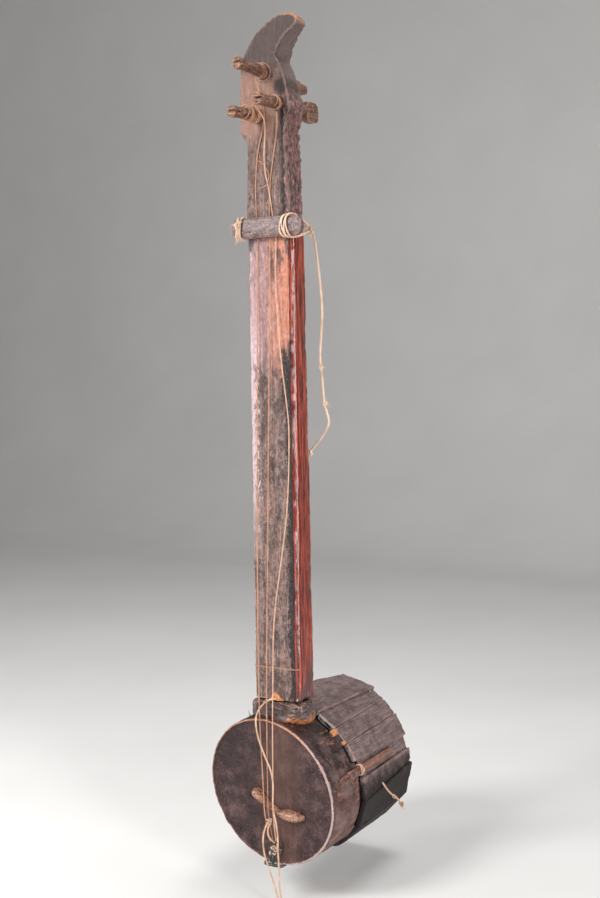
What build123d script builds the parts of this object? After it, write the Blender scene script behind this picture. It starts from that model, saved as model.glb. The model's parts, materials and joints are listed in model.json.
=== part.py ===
"""Long-necked three-string lute with a skin-fronted drum built of staves.

The frame's origin is on the middle of the neck's back, just below the tied nut bar.
X points to the player's left-hand side as seen from the front (right in a front view),
Y points to the back and Z points up the neck. All sizes are in millimetres.
"""

import os
from math import cos, hypot, pi, radians, sin, tan

from build123d import *

os.makedirs("parts", exist_ok=True)

# ---- Driving dimensions ------------------------------------------------------------

# Neck: a flat playing face, gently thinner towards the head
neck_front = -40.0
neck_left = -36.5
neck_right = 38.0
neck_foot_z = -649.0
neck_taper_z = 40.0  # above this the right side leans in
neck_top_z = 179.0
neck_top_left = -34.0
neck_top_right = 28.0
neck_foot_back = 10.0  # the back swells out this far at the foot
side_bulge = 1.5  # the sides stand this far outside the face's edges
bulge_depth = 9.0
front_edge_radius = 2.0
bulge_radius = 6.0
back_edge_radius = 8.0
head_end_radius = 4.0

# Head: a plate cut to a hooked outline
head_thickness = 38.0
tip_thickness = 20.0
tip_cut_z = 288.0  # the head's back slopes forward from here up
head_top_z = 337.0
head_back = neck_front + head_thickness

# Spike: the neck's tenon, which runs through saddle and drum
spike_half_width = 14.0
spike_front = -36.0
spike_back = -12.0
spike_end_z = -895.0
slot_clearance = 0.25

# Drum: an egg-like cylinder that lies on its side, face to the front
drum_x = -3.3
drum_z = -783.1
drum_long = 110.8  # half of the longer diameter
drum_short = 95.5
drum_turn = -51.2  # direction of the longer diameter, degrees from +X
face_y = -52.0
back_y = 212.0
skin_thickness = 1.8
shell_gap = 2.2  # the shell's outside, inside the skin's outside
shell_wall = 9.0

# Staves: flat boards laid along the drum behind the skin
stave_thickness = 8.5
stave_gap = 0.4  # half of the joint between two boards, degrees
shell_play = 0.4
bulge_allowance = 1.35  # the oval's flatter sides bulge less than a circle's
joint_front_y = 25.0
joint_back_y = 205.0
# for each joint between boards: its direction at joint_front_y and at joint_back_y, degrees
stave_joints = [(70, 67), (52, 54), (36, 38), (20, 17), (5, 6), (-14, -5), (-36, -32),
                (-60, -57), (-84, -82), (-109, -107), (-134, -133), (-159, -158),
                (-184, -184), (-209, -210), (-234, -236), (-258, -262)]
# for each board after those joints: where it starts and stops along Y
stave_ends = [(27, 205), (27.5, 204), (30, 203), (42, 201), (38, 203), (40, 201), (45, 198),
              (44, 203), (42, 200), (45, 202), (40, 199), (44, 202), (39, 204), (42, 206),
              (36, 208), (28, 209)]
# for each board: where the skin's sleeve stops in front of it, short where it has torn
sleeve_ends = [18, 27, 20, 34, 28, 31, 40, 38, 34, 42, 36, 40, 33, 40, 34, 26]
slat_board = 3  # this board is thin, and a bamboo slat lies on it
slat_board_thickness = 4.6

# Pegs
peg_radius = 9.0
peg_play = 0.06
tip_radius = 7.0
slit_width = 1.6
slit_length = 24.0
winding_height = 1.8

# Nut bar, tied across the neck
bar_back = -42.6
bar_front = -55.0
bar_bottom = 23.0
bar_top = 52.0
bar_middle_z = (bar_bottom + bar_top) / 2
bar_left = -56.0
bar_right = 62.0

# Bridge, loose on the skin
bridge_x = 8.5
bridge_z = -801.0
bridge_length = 91.0
bridge_width = 16.0
bridge_height = 13.0
bridge_turn = -16.0
bridge_foot = face_y - 0.3
string_gap_left = -15.0
string_gap_right = 9.0
string_gap_floor = -60.3

# Cords
string_diameter = 1.0
twine_string_diameter = 1.6
twine_diameter = 2.8
face_cord_diameter = 2.2
side_cord_diameter = 2.4
arc_share = 0.45


def save(part, name):
    """Label a finished piece and write it under its own name."""
    part.label = name
    export_step(part, f"parts/{name}.step")


def on_drum(polar, grow):
    """Point (x, z) of the drum's outline, moved outwards by grow, in a direction."""
    turn = radians(polar - drum_turn)
    reach = 1 / hypot(cos(turn) / (drum_long + grow), sin(turn) / (drum_short + grow))
    return drum_x + reach * cos(radians(polar)), drum_z + reach * sin(radians(polar))


def joint_direction(number, y):
    """Direction of one joint between boards at depth y, counted on past a full turn."""
    front, back = stave_joints[number % len(stave_joints)]
    front, back = (angle - 360 * (number // len(stave_joints)) for angle in (front, back))
    return front + (back - front) * (y - joint_front_y) / (joint_back_y - joint_front_y)


def front_plane(y):
    """Plane across the drum at depth y, its normal to the front, local axes X and Z."""
    return Plane.XZ.offset(-y)


def drum_oval(grow, mode=Mode.ADD):
    """The drum's outline, grown outwards, for a sketch on a front plane."""
    with Locations((drum_x, drum_z)):
        Ellipse(drum_long + grow, drum_short + grow, rotation=drum_turn, mode=mode)


def corner_radii(points):
    """The largest arcs that a route's straight runs leave room for."""
    radii = []
    for before, corner, after in zip(points, points[1:], points[2:]):
        turn = (corner - before).get_angle(after - corner)
        run = min((corner - before).length, (after - corner).length)
        radii.append(arc_share * run / tan(radians(turn) / 2))
    return radii


def cord(name, route, diameter):
    """Round cord along straight runs joined by arcs that touch both."""
    points = [Vector(*place) for place in route]
    radii = corner_radii(points)
    with BuildPart() as tube:
        with BuildLine() as path:
            FilletPolyline(*points, radius=radii)
        with BuildSketch(Plane(origin=path.wires()[0] @ 0, z_dir=path.wires()[0] % 0)):
            Circle(diameter / 2)
        sweep()
    length = path.wires()[0].length
    expected = length * pi * diameter**2 / 4
    print(f"{name}: length {length:.0f}, volume {tube.part.volume / expected:.3f} of expected,"
          f" arcs {' '.join(f'{r:.0f}' for r in radii)}")
    return tube.part


# ---- Neck and head -----------------------------------------------------------------

neck_stations = [
    # height, left and right edge, back, radius of the back edges
    (neck_foot_z, neck_left, neck_right, neck_foot_back, back_edge_radius),
    (0.0, neck_left, neck_right, 0.0, back_edge_radius),
    (neck_taper_z, neck_left, neck_right, 0.0, back_edge_radius),
    (neck_top_z, neck_top_left, neck_top_right, head_back, head_end_radius),
]

# Peg places on the front face, and how far each peg leans down at its front
peg_places = {"upper": (-4.8, 258.0, 0.5), "middle": (17.5, 212.0, 3.0), "lower": (-14.0, 197.0, 4.0)}


def peg_axis(name):
    """Where a peg's axis meets the front face, and its direction to the front."""
    x, z, lean = peg_places[name]
    return Vector(x, neck_front, z), Vector(0, -cos(radians(lean)), -sin(radians(lean)))


with BuildPart() as neck:
    for lower, upper in zip(neck_stations, neck_stations[1:]):
        for z, left, right, back, back_radius in (lower, upper):
            with BuildSketch(Plane.XY.offset(z)) as section:
                with BuildLine():
                    Polyline(
                        (left, neck_front),
                        (right, neck_front),
                        (right + side_bulge, neck_front + bulge_depth),
                        (right + side_bulge, back),
                        (left - side_bulge, back),
                        (left - side_bulge, neck_front + bulge_depth),
                        close=True,
                    )
                make_face()
                fillet(section.vertices().group_by(Axis.Y)[-1], back_radius)
                fillet(section.vertices().group_by(Axis.Y)[1], bulge_radius)
                fillet(section.vertices().group_by(Axis.Y)[0], front_edge_radius)
        loft(ruled=True)
    with BuildSketch(front_plane(head_back)):
        with BuildLine():
            Polyline((28.3, 172), (38.6, 207))
            Spline((38.6, 207), (32.6, 235), (25, 264), (15.4, 279.3))
            Spline((15.4, 279.3), (20.6, 292.5), (35.5, 308.4), (52, 320))
            Spline((52, 320), (48.8, 330), (33, 335.7), (0, 326), (-27.4, 302), (-44, 245))
            Polyline((-44, 245), (-45.3, 174), (-34, 160), (28.3, 172))
        make_face()
    extrude(amount=head_thickness)
    with BuildSketch(Plane.YZ.offset(-60)):
        with BuildLine():
            Polyline(
                (head_back + 0.5, tip_cut_z),
                (head_back + 0.5, head_top_z + 5),
                (neck_front + tip_thickness - 2, head_top_z + 5),
                (head_back, tip_cut_z),
                close=True,
            )
        make_face()
    extrude(amount=130, mode=Mode.SUBTRACT)
    with BuildSketch(Plane.XY.offset(neck_foot_z)):
        with Locations((0, (spike_front + spike_back) / 2)):
            Rectangle(2 * spike_half_width, spike_back - spike_front)
    extrude(amount=spike_end_z - neck_foot_z)
    for name in peg_places:
        face_point, to_front = peg_axis(name)
        with BuildSketch(Plane(origin=face_point + to_front * 30, z_dir=-to_front)):
            Circle(peg_radius + peg_play)
        extrude(amount=120, mode=Mode.SUBTRACT)
save(neck.part, "neck")

# ---- Pegs: handle behind the head, slit tip in front -------------------------------

paddle_start = -78.0
peg_shapes = {
    # reach in front, handle length, half height and half thickness, how far it sits below the axis
    "upper": (72.0, 42.0, 7.0, 6.0, 5.0),
    "middle": (57.0, 34.0, 15.0, 6.0, 2.5),
    "lower": (74.0, 34.0, 13.0, 5.5, 0.0),
}
winding_places = {"upper": (3.0, 13.0), "middle": (3.0, 13.0), "lower": (12.0, 34.0)}


def peg_taper(reach, along):
    """A peg's radius in front of the head, at a distance from the front face."""
    return peg_radius + (tip_radius - peg_radius) * along / reach


for name, (reach, handle_length, half_height, half_thickness, drop) in peg_shapes.items():
    face_point, to_front = peg_axis(name)
    profile_plane = Plane(
        origin=face_point, x_dir=(1, 0, 0), z_dir=Vector(1, 0, 0).cross(to_front)
    )
    handle_plane = Plane(origin=face_point, x_dir=to_front, z_dir=(1, 0, 0))
    with BuildPart() as peg:
        with BuildSketch(profile_plane):
            with BuildLine():
                Polyline(
                    (0, -100),
                    (6.5, -100),
                    (7.5, -head_thickness - 6),
                    (peg_radius, -head_thickness - 5),
                    (peg_radius, 0),
                    (tip_radius, reach),
                    (0, reach),
                    close=True,
                )
            make_face()
        revolve(axis=Axis(face_point, to_front))
        with BuildSketch(handle_plane.offset(-half_thickness)):
            with Locations((paddle_start - handle_length / 2, drop)):
                RectangleRounded(handle_length, 2 * half_height, half_height * 0.6)
        extrude(amount=2 * half_thickness)
        with BuildSketch(handle_plane.offset(-peg_radius)):
            with Locations((reach - slit_length / 2, 0)):
                Rectangle(slit_length, slit_width)
        extrude(amount=2 * peg_radius, mode=Mode.SUBTRACT)
    save(peg.part, f"peg_{name}")

    start, stop = winding_places[name]
    with BuildPart() as winding:
        with BuildSketch(profile_plane):
            with BuildLine():
                Polyline(
                    (peg_taper(reach, start), start),
                    (peg_taper(reach, start) + winding_height, start + 1),
                    (peg_taper(reach, stop) + winding_height, stop - 1),
                    (peg_taper(reach, stop), stop),
                    close=True,
                )
            make_face()
        revolve(axis=Axis(face_point, to_front))
    save(winding.part, f"winding_{name}")

# ---- Nut bar and its lashings ------------------------------------------------------

with BuildPart() as nut_bar:
    with BuildSketch(front_plane(bar_back)):
        with Locations(((bar_left + bar_right) / 2, bar_middle_z)):
            SlotOverall(bar_right - bar_left, bar_top - bar_bottom)
    extrude(amount=bar_back - bar_front)
    for groove_x, groove_width in ((-39.5, 6.0), (43.1, 12.0)):
        with BuildSketch(Plane.YZ.offset(groove_x - groove_width / 2)):
            with Locations(((bar_front + bar_back) / 2, bar_middle_z)):
                Rectangle(40, 60)
                Rectangle(bar_back - bar_front - 2, bar_top - bar_bottom - 2, mode=Mode.SUBTRACT)
        extrude(amount=groove_width, mode=Mode.SUBTRACT)
save(nut_bar.part, "nut_bar")

ring_play = 0.6
ring_half_height = (bar_top - bar_bottom) / 2 - 1 + twine_diameter / 2 + ring_play
ring_front = bar_front + 1 - twine_diameter / 2 - ring_play
ring_back = bar_back - 1 + twine_diameter / 2 + ring_play
lashing_end_y = 5.0
loop_lean = 0.04  # sideways for each step back


def closed_loops(places, corners_of, radius, diameter):
    """Closed rings of cord, one for each place, as separate solids of one part."""
    with BuildPart() as loops:
        for place in places:
            corners = corners_of(place)
            with BuildLine() as path:
                FilletPolyline(*corners, radius=radius, close=True)
            middle = (Vector(*corners[0]) + Vector(*corners[1])) / 2
            along = Vector(*corners[1]) - Vector(*corners[0])
            with BuildSketch(Plane(origin=middle, z_dir=along)):
                Circle(diameter / 2)
            sweep(path=path.wires()[0])
    return loops.part


def left_ring(x):
    """One turn round the bar, outside the neck's left edge."""
    top = bar_middle_z + ring_half_height
    bottom = bar_middle_z - ring_half_height
    return [(x, ring_front, top), (x, ring_front, bottom), (x, ring_back, bottom), (x, ring_back, top)]


def right_loop(x):
    """One turn from the bar's front back along the neck's side, where it closes up."""
    top = bar_middle_z + ring_half_height
    bottom = bar_middle_z - ring_half_height
    behind_bar = x + loop_lean * (ring_back - ring_front)
    end = x + loop_lean * (lashing_end_y - ring_front)
    return [
        (x, ring_front, top),
        (x, ring_front, bottom),
        (behind_bar, ring_back, bottom),
        (end, lashing_end_y, bar_middle_z + 1),
        (end, lashing_end_y, bar_middle_z + 9),
        (behind_bar, ring_back, top),
    ]


save(closed_loops((-41.2, -38.3), left_ring, 2.2, twine_diameter), "nut_lashing_left")
save(closed_loops((40.2, 43.1, 46.0), right_loop, 2.2, twine_diameter), "nut_lashing_right")

# One strand runs behind the neck and ties the two lashings together
neck_wrap = twine_diameter / 2 + 0.8
with BuildPart() as back_cord:
    with BuildLine() as back_path:
        FilletPolyline(
            (neck_left - side_bulge - neck_wrap, -37, 37),
            (neck_left - side_bulge - neck_wrap, neck_wrap, 37),
            (neck_right + 3.6, neck_wrap, 42),
            radius=back_edge_radius + neck_wrap,
        )
    with BuildSketch(Plane(origin=back_path.wires()[0] @ 0, z_dir=back_path.wires()[0] % 0)):
        Circle(twine_diameter / 2)
    sweep()
save(back_cord.part, "nut_back_cord")

# The lashing's long free end hangs down beside the neck
nut_twine_route = [
    (45.6, 5.5, 36.6),
    (50, 6, 25),
    (53, 6.5, 0),
    (58, 6, -36),
    (62.3, 5, -80),
    (59.5, 5, -118),
    (55.6, 6, -150),
    (60, 6, -176),
    (61.2, 6, -205),
    (66, 5.5, -226),
    (71.5, 5, -241),
    (66, 5, -255),
    (55, 6, -268),
    (44, 8, -278),
    (35.5, 10, -287),
]
save(cord("nut_twine", nut_twine_route, twine_diameter), "nut_twine")

middle_knot_radius = 2.9
end_knot_radius = 4.2
with BuildPart() as twine_knots:
    with Locations((57.8, 6, -163), (63.6, 5.75, -215.5)):
        Sphere(middle_knot_radius)
    with Locations((33.6, 10.4, -289.2)):
        Sphere(end_knot_radius)
save(twine_knots.part, "nut_twine_knots")

# ---- Drum shell and skin -----------------------------------------------------------

shell_front = face_y + skin_thickness
with BuildPart() as shell:
    with BuildSketch(front_plane(back_y)):
        drum_oval(-shell_gap)
        drum_oval(-shell_gap - shell_wall, mode=Mode.SUBTRACT)
    extrude(amount=back_y - shell_front)
    with BuildSketch(Plane.XY.offset(spike_end_z - 5)):
        with Locations((0, (spike_front + spike_back) / 2)):
            Rectangle(
                2 * (spike_half_width + slot_clearance),
                spike_back - spike_front + 2 * slot_clearance,
            )
    extrude(amount=neck_foot_z - spike_end_z, mode=Mode.SUBTRACT)
save(shell.part, "drum_shell")

with BuildPart() as skin_head:
    with BuildSketch(front_plane(shell_front)):
        drum_oval(0)
    extrude(amount=skin_thickness)
save(skin_head.part, "skin_head")

with BuildPart() as sleeve:
    with BuildSketch(front_plane(max(sleeve_ends))):
        drum_oval(0)
        drum_oval(-shell_gap, mode=Mode.SUBTRACT)
    extrude(amount=max(sleeve_ends) - shell_front)
    for number, end in enumerate(sleeve_ends):
        first, second = joint_direction(number, joint_front_y), joint_direction(number + 1, joint_front_y)
        with BuildSketch(front_plane(max(sleeve_ends) + 1)):
            with BuildLine():
                Polyline(
                    (drum_x, drum_z),
                    on_drum(first, drum_long),
                    on_drum(second, drum_long),
                    close=True,
                )
            make_face()
        extrude(amount=max(sleeve_ends) + 1 - end, mode=Mode.SUBTRACT)
    with BuildSketch(Plane.XY.offset(spike_end_z - 5)):
        with Locations((0, (spike_front + spike_back) / 2)):
            Rectangle(
                2 * (spike_half_width + slot_clearance),
                spike_back - spike_front + 2 * slot_clearance,
            )
    extrude(amount=neck_foot_z - spike_end_z, mode=Mode.SUBTRACT)
save(sleeve.part, "skin_sleeve")

# ---- Saddle, wedge and thread at the neck's foot -----------------------------------

saddle_left = -41.0
saddle_right = 46.0
saddle_front = -46.0
saddle_back = 9.0
saddle_bottom = -688.0
with BuildPart() as saddle:
    with BuildSketch(Plane.XY.offset(neck_foot_z)):
        with Locations(((saddle_left + saddle_right) / 2, (saddle_front + saddle_back) / 2)):
            RectangleRounded(saddle_right - saddle_left, saddle_back - saddle_front, 6)
        with Locations((0, (spike_front + spike_back) / 2)):
            Rectangle(
                2 * (spike_half_width + slot_clearance),
                spike_back - spike_front + 2 * slot_clearance,
                mode=Mode.SUBTRACT,
            )
    extrude(amount=saddle_bottom - neck_foot_z)
    with BuildSketch(front_plane(saddle_back + 5)):
        drum_oval(0.3)
    extrude(amount=saddle_back - saddle_front + 10, mode=Mode.SUBTRACT)
save(saddle.part, "neck_saddle")

with BuildPart() as foot_wedge:
    with BuildSketch(front_plane(neck_front)):
        with BuildLine():
            Polyline((-8, -648.8), (13, -648.8), (1, -640.5), (-8, -648.8))
        make_face()
    extrude(amount=3.4)
save(foot_wedge.part, "foot_wedge")

thread_diameter = 1.0
thread_z = -601.5
thread_gap = thread_diameter / 2 + 0.1
thread_back = neck_foot_back * thread_z / neck_foot_z + thread_gap
with BuildPart() as thread:
    with BuildLine() as thread_path:
        FilletPolyline(
            (neck_left - side_bulge - thread_gap, neck_front - thread_gap, thread_z),
            (neck_right + side_bulge + thread_gap, neck_front - thread_gap, thread_z),
            (neck_right + side_bulge + thread_gap, thread_back, thread_z),
            (neck_left - side_bulge - thread_gap, thread_back, thread_z),
            radius=[2.6, 2.6, 8.6, 8.6],
            close=True,
        )
    with BuildSketch(Plane(origin=(0, neck_front - thread_gap, thread_z), z_dir=(1, 0, 0))):
        Circle(thread_diameter / 2)
    sweep(path=thread_path.wires()[0])
save(thread.part, "neck_thread")

# ---- Staves ------------------------------------------------------------------------


def board_section(number, y, thickness):
    """Corners (x, z) across one board at depth y, its flat inside clear of the shell."""
    first, second = joint_direction(number, y), joint_direction(number + 1, y)
    bulge = drum_long * (1 - cos(radians(first - second) / 2)) * bulge_allowance
    inside = -shell_gap + shell_play + bulge
    outside = inside + thickness
    first, second = first - stave_gap, second + stave_gap
    return [on_drum(first, inside), on_drum(first, outside), on_drum(second, outside),
            on_drum(second, inside)]


for number, (start, stop) in enumerate(stave_ends):
    thickness = slat_board_thickness if number == slat_board else stave_thickness
    with BuildPart() as stave:
        for y in (start, stop):
            with BuildSketch(front_plane(y)):
                with BuildLine():
                    Polyline(*board_section(number, y, thickness), close=True)
                make_face()
        loft(ruled=True)
    save(stave.part, f"stave_{number + 1:02}")

# ---- Wedges, hide tab, binding and bamboo slat on the drum's side ------------------


def side_plane(polar, grow, y):
    """Plane across the drum's side: local X outwards, normal to the back."""
    x, z = on_drum(polar, grow)
    outwards = (cos(radians(polar)), 0, sin(radians(polar)))
    return Plane(origin=(x, y, z), x_dir=outwards, z_dir=(0, 1, 0))


# direction, start along Y, length, height and width of each wedge
stave_wedge_shapes = [(49, 12, 9.5, 5.5, 8.5), (38, 20, 7.0, 3.4, 4.5)]
wedge_foot = 0.5
with BuildPart() as wedges:
    for polar, start, length, height, width in stave_wedge_shapes:
        with BuildSketch(side_plane(polar, wedge_foot + height / 2, start)):
            RectangleRounded(height, width, 1.2)
        extrude(amount=length)
save(wedges.part, "stave_wedges")

slat_polar = 12.5
slat_width = 12.0
slat_thickness = 3.6
tab_start = -25.0
tie_y = 36.0
slat_end = 143.0
tab_height = 7.5
tab_base = 0.8
tie_diameter = 2.0
with BuildPart() as hide_tab:
    with BuildSketch(side_plane(slat_polar, tab_base + tab_height / 2, tab_start)):
        RectangleRounded(tab_height, slat_width, 2.5)
    extrude(amount=tie_y - tab_start - 0.1)
save(hide_tab.part, "hide_tab")

with BuildPart() as slat:
    slat_height = tab_base + tab_height - slat_thickness / 2
    with BuildSketch(side_plane(slat_polar, slat_height, tie_y)):
        RectangleRounded(slat_thickness, slat_width, 1.2)
    extrude(amount=slat_end - tie_y)
save(slat.part, "bamboo_slat")

tie_half_width = slat_width / 2 + tie_diameter / 2 + 0.25
tie_half_height = tab_height / 2 + tie_diameter / 2 + 0.25
tie_plane = side_plane(slat_polar, tab_base + tab_height / 2, tie_y)
with BuildPart() as tie:
    with BuildLine(tie_plane) as tie_path:
        FilletPolyline(
            (tie_half_height, tie_half_width),
            (tie_half_height, -tie_half_width),
            (-tie_half_height, -tie_half_width),
            (-tie_half_height, tie_half_width),
            radius=2.0,
            close=True,
        )
    tie_middle = tie_plane.from_local_coords((tie_half_height, 0, 0))
    with BuildSketch(Plane(origin=tie_middle, z_dir=tie_plane.y_dir)):
        Circle(tie_diameter / 2)
    sweep(path=tie_path.wires()[0])
save(tie.part, "tab_binding")

# ---- Bridge ------------------------------------------------------------------------

with BuildPart() as bridge:
    with BuildSketch(front_plane(bridge_foot)):
        with Locations((bridge_x, bridge_z)):
            SlotOverall(bridge_length, bridge_width, rotation=bridge_turn)
    extrude(amount=bridge_height)
    fillet(bridge.faces().sort_by(Axis.Y)[0].edges(), 4)
    with BuildSketch(front_plane(string_gap_floor)):
        with Locations(((string_gap_left + string_gap_right) / 2, bridge_z)):
            Rectangle(string_gap_right - string_gap_left, 60)
    extrude(amount=20, mode=Mode.SUBTRACT)
save(bridge.part, "bridge")

# ---- Strings -----------------------------------------------------------------------

string_1_route = [
    (-13, -48, 249.5),
    (-9, -43.6, 230),
    (-2.8, -42.2, 208),
    (-2.6, -42, 187),
    (-13, -41.8, 154),
    (-17.8, -41.4, 128),
    (-19.9, -41.4, 84),
    (-18, -41.4, 50),
    (-17.8, -41.4, 14),
    (-19, -44, -120),
    (-20, -51, -354),
    (-19.6, -58, -647),
    (-10.4, -62, -785),
    (-10.2, -62, -817),
    (-2, -58, -860),
]
string_2_route = [
    (20, -47, 199),
    (19.8, -42.6, 187),
    (14.5, -41.8, 156),
    (5.8, -41.4, 109),
    (3, -41.4, 80),
    (3.4, -41.4, 14),
    (-1.5, -51, -354),
    (-6, -58, -647),
    (-3.6, -62, -785),
    (-3.4, -62, -817),
    (3, -58, -860),
]
string_3_route = [
    (-5, -60, 203.5),
    (0.6, -55, 197),
    (1.8, -48.5, 186),
    (0, -44.8, 171),
    (-2.2, -43.9, 152),
    (-3.2, -43.6, 133),
    (-1.4, -43.4, 113),
    (2.6, -43, 97),
    (4.8, -42.3, 81),
    (6.8, -41.4, 64),
    (10.5, -41.4, 43),
    (13.8, -41.4, 22),
    (12.8, -41.5, 2),
    (11.6, -42.6, -20),
    (12.8, -43.8, -56),
    (17, -45, -98),
    (21, -46.5, -150),
    (28.5, -48, -200),
    (34.5, -49, -245),
    (34, -50, -295),
    (32, -51, -345),
    (27.5, -52.5, -395),
    (20, -54, -445),
    (11.5, -55, -497),
    (6.5, -56, -545),
    (5.8, -57, -600),
    (5.4, -59.5, -655),
    (5.2, -60.6, -700),
    (5.4, -61.6, -745),
    (4.9, -62.1, -787),
    (5.1, -62, -820),
    (7.5, -59.5, -853),
]
save(cord("string_1", string_1_route, string_diameter), "string_1")
save(cord("string_2", string_2_route, string_diameter), "string_2")
save(cord("string_3", string_3_route, twine_string_diameter), "string_3")

# ---- Tail: knots, binding and the long face cord -----------------------------------

knot_front = -62.0
knot_left = -12.0
knot_right = 21.0
knot_top = -852.0
knot_bottom = -889.2
with BuildPart() as tail_knot:
    with BuildSketch(front_plane(face_y)):
        with Locations(((knot_left + knot_right) / 2, (knot_top + knot_bottom) / 2)):
            RectangleRounded(knot_right - knot_left, knot_top - knot_bottom, 12)
    extrude(amount=face_y - knot_front)
    fillet(tail_knot.faces().sort_by(Axis.Y)[0].edges(), 4)
save(tail_knot.part, "tail_knot")

hitch_place = (-0.5, -63, -823)
hitch_radius = 4.4
with BuildPart() as hitch:
    with Locations(hitch_place):
        Sphere(hitch_radius)
save(hitch.part, "string_hitch")

binding_z = -890.6
binding_gap = 0.3
binding_front = face_y - 5
binding_side = spike_half_width + twine_diameter / 2 + binding_gap
with BuildPart() as tail_binding:
    with BuildLine() as binding_path:
        FilletPolyline(
            (-binding_side, binding_front, binding_z),
            (binding_side, binding_front, binding_z),
            (binding_side, spike_back + twine_diameter / 2 + binding_gap, binding_z),
            (-binding_side, spike_back + twine_diameter / 2 + binding_gap, binding_z),
            radius=2.0,
            close=True,
        )
    with BuildSketch(Plane(origin=(0, binding_front, binding_z), z_dir=(1, 0, 0))):
        Circle(twine_diameter / 2)
    sweep(path=binding_path.wires()[0])
save(tail_binding.part, "tail_binding")

face_cord_route = [
    (2.5, -45.2, -646),
    (-8, -47, -647),
    (-18, -49.5, -656),
    (-25, -54, -668),
    (-24.5, -59, -682),
    (-18.5, -63, -700),
    (-12, -64.5, -714),
    (-4.5, -65, -730),
    (4.5, -65, -747),
    (8.6, -66, -766),
    (8.5, -68, -785),
    (9, -69.5, -802),
    (13.5, -68.5, -821),
    (15.5, -67.5, -842),
    (15, -67, -865),
    (16, -66, -890),
    (15, -65, -914),
    (17.5, -64.3, -934),
    (18, -64, -944.5),
    (12.5, -64, -943.5),
    (11, -64, -932.5),
    (6, -65, -914),
    (-2, -66, -892),
    (-9.5, -66.5, -870),
    (-11, -66, -850),
    (-8.5, -65, -836),
    (-3.6, -64, -825.5),
]
save(cord("face_cord", face_cord_route, face_cord_diameter), "face_cord")

tail_strand_route = [
    (0.5, -64, -826.5),
    (-3.5, -64, -834.5),
    (-4, -63.4, -844),
    (0.5, -62, -851.5),
    (6, -60.2, -856),
]
save(cord("tail_strand", tail_strand_route, face_cord_diameter), "tail_strand")

side_cord_route = [
    (110.5, 87, -794),
    (113, 96, -807),
    (117, 108, -819),
    (119.5, 119, -826),
    (121, 129, -837),
]
save(cord("side_cord", side_cord_route, side_cord_diameter), "side_cord")

side_knot_radius = 3.6
with BuildPart() as side_cord_knot:
    with Locations((121.5, 131, -839.5)):
        Sphere(side_knot_radius)
save(side_cord_knot.part, "side_cord_knot")
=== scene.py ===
"""The looks of a long-necked three-string lute with a skin-fronted drum of staves.

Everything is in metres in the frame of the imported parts: X to the right in a front view,
Y to the back, Z up the neck.
"""

import itertools
import json
import math

import bmesh
import bpy
import numpy as np
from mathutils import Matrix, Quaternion, Vector


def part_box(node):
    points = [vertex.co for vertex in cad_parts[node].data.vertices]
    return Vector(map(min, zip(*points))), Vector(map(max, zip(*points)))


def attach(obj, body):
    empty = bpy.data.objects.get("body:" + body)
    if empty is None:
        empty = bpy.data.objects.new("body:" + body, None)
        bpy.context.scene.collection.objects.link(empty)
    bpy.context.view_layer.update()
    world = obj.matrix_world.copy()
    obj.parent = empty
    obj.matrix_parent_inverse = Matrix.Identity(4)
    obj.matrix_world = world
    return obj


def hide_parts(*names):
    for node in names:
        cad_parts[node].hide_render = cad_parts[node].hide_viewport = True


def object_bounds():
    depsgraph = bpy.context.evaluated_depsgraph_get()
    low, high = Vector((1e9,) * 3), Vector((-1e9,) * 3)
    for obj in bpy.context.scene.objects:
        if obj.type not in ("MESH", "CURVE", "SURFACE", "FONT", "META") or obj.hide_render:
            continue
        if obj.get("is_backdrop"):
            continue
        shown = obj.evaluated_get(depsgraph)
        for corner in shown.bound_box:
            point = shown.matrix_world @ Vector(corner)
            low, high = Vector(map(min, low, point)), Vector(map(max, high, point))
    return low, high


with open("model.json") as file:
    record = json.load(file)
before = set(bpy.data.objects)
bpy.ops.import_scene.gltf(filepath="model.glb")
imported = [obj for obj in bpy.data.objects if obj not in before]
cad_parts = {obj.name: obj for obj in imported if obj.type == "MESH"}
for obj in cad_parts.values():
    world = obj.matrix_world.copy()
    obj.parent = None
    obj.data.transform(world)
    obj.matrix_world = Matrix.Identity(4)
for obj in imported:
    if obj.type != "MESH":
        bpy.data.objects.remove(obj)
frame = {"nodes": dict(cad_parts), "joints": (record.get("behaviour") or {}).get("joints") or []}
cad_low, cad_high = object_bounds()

scene = bpy.context.scene
scene.view_settings.view_transform = "Standard"
joints = {joint["name"]: joint for joint in frame["joints"]}
LUTE, NUT = "lute", "tied_nut"
PLY_OVERLAP = 1.12  # how much thicker a ply is than half its twine
DRAWN_THICKER = 1.25  # free cords look thicker than their CAD tubes
GUT_WIDTH, TWINE_WIDTH = 0.0019, 0.0028

# ---- Camera ------------------------------------------------------------------------

camera_data = bpy.data.cameras.new("camera")
camera_data.lens = 50
camera = bpy.data.objects.new("camera", camera_data)
scene.collection.objects.link(camera)
scene.camera = camera
camera.location = (0.922, -1.5919, -0.1683)
camera_roll = math.radians(-0.85)
look = Vector((-0.4903, 0.8693, -0.0621))
camera.rotation_mode = "QUATERNION"
camera.rotation_quaternion = look.to_track_quat("-Z", "Y") @ Quaternion((0, 0, 1), camera_roll)

# ---- Shapes ------------------------------------------------------------------------


def step(low, high, value):
    """0 below low, 1 above high and smooth between them."""
    t = np.clip((value - low) / (high - low), 0, 1)
    return t * t * (3 - 2 * t)


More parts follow.
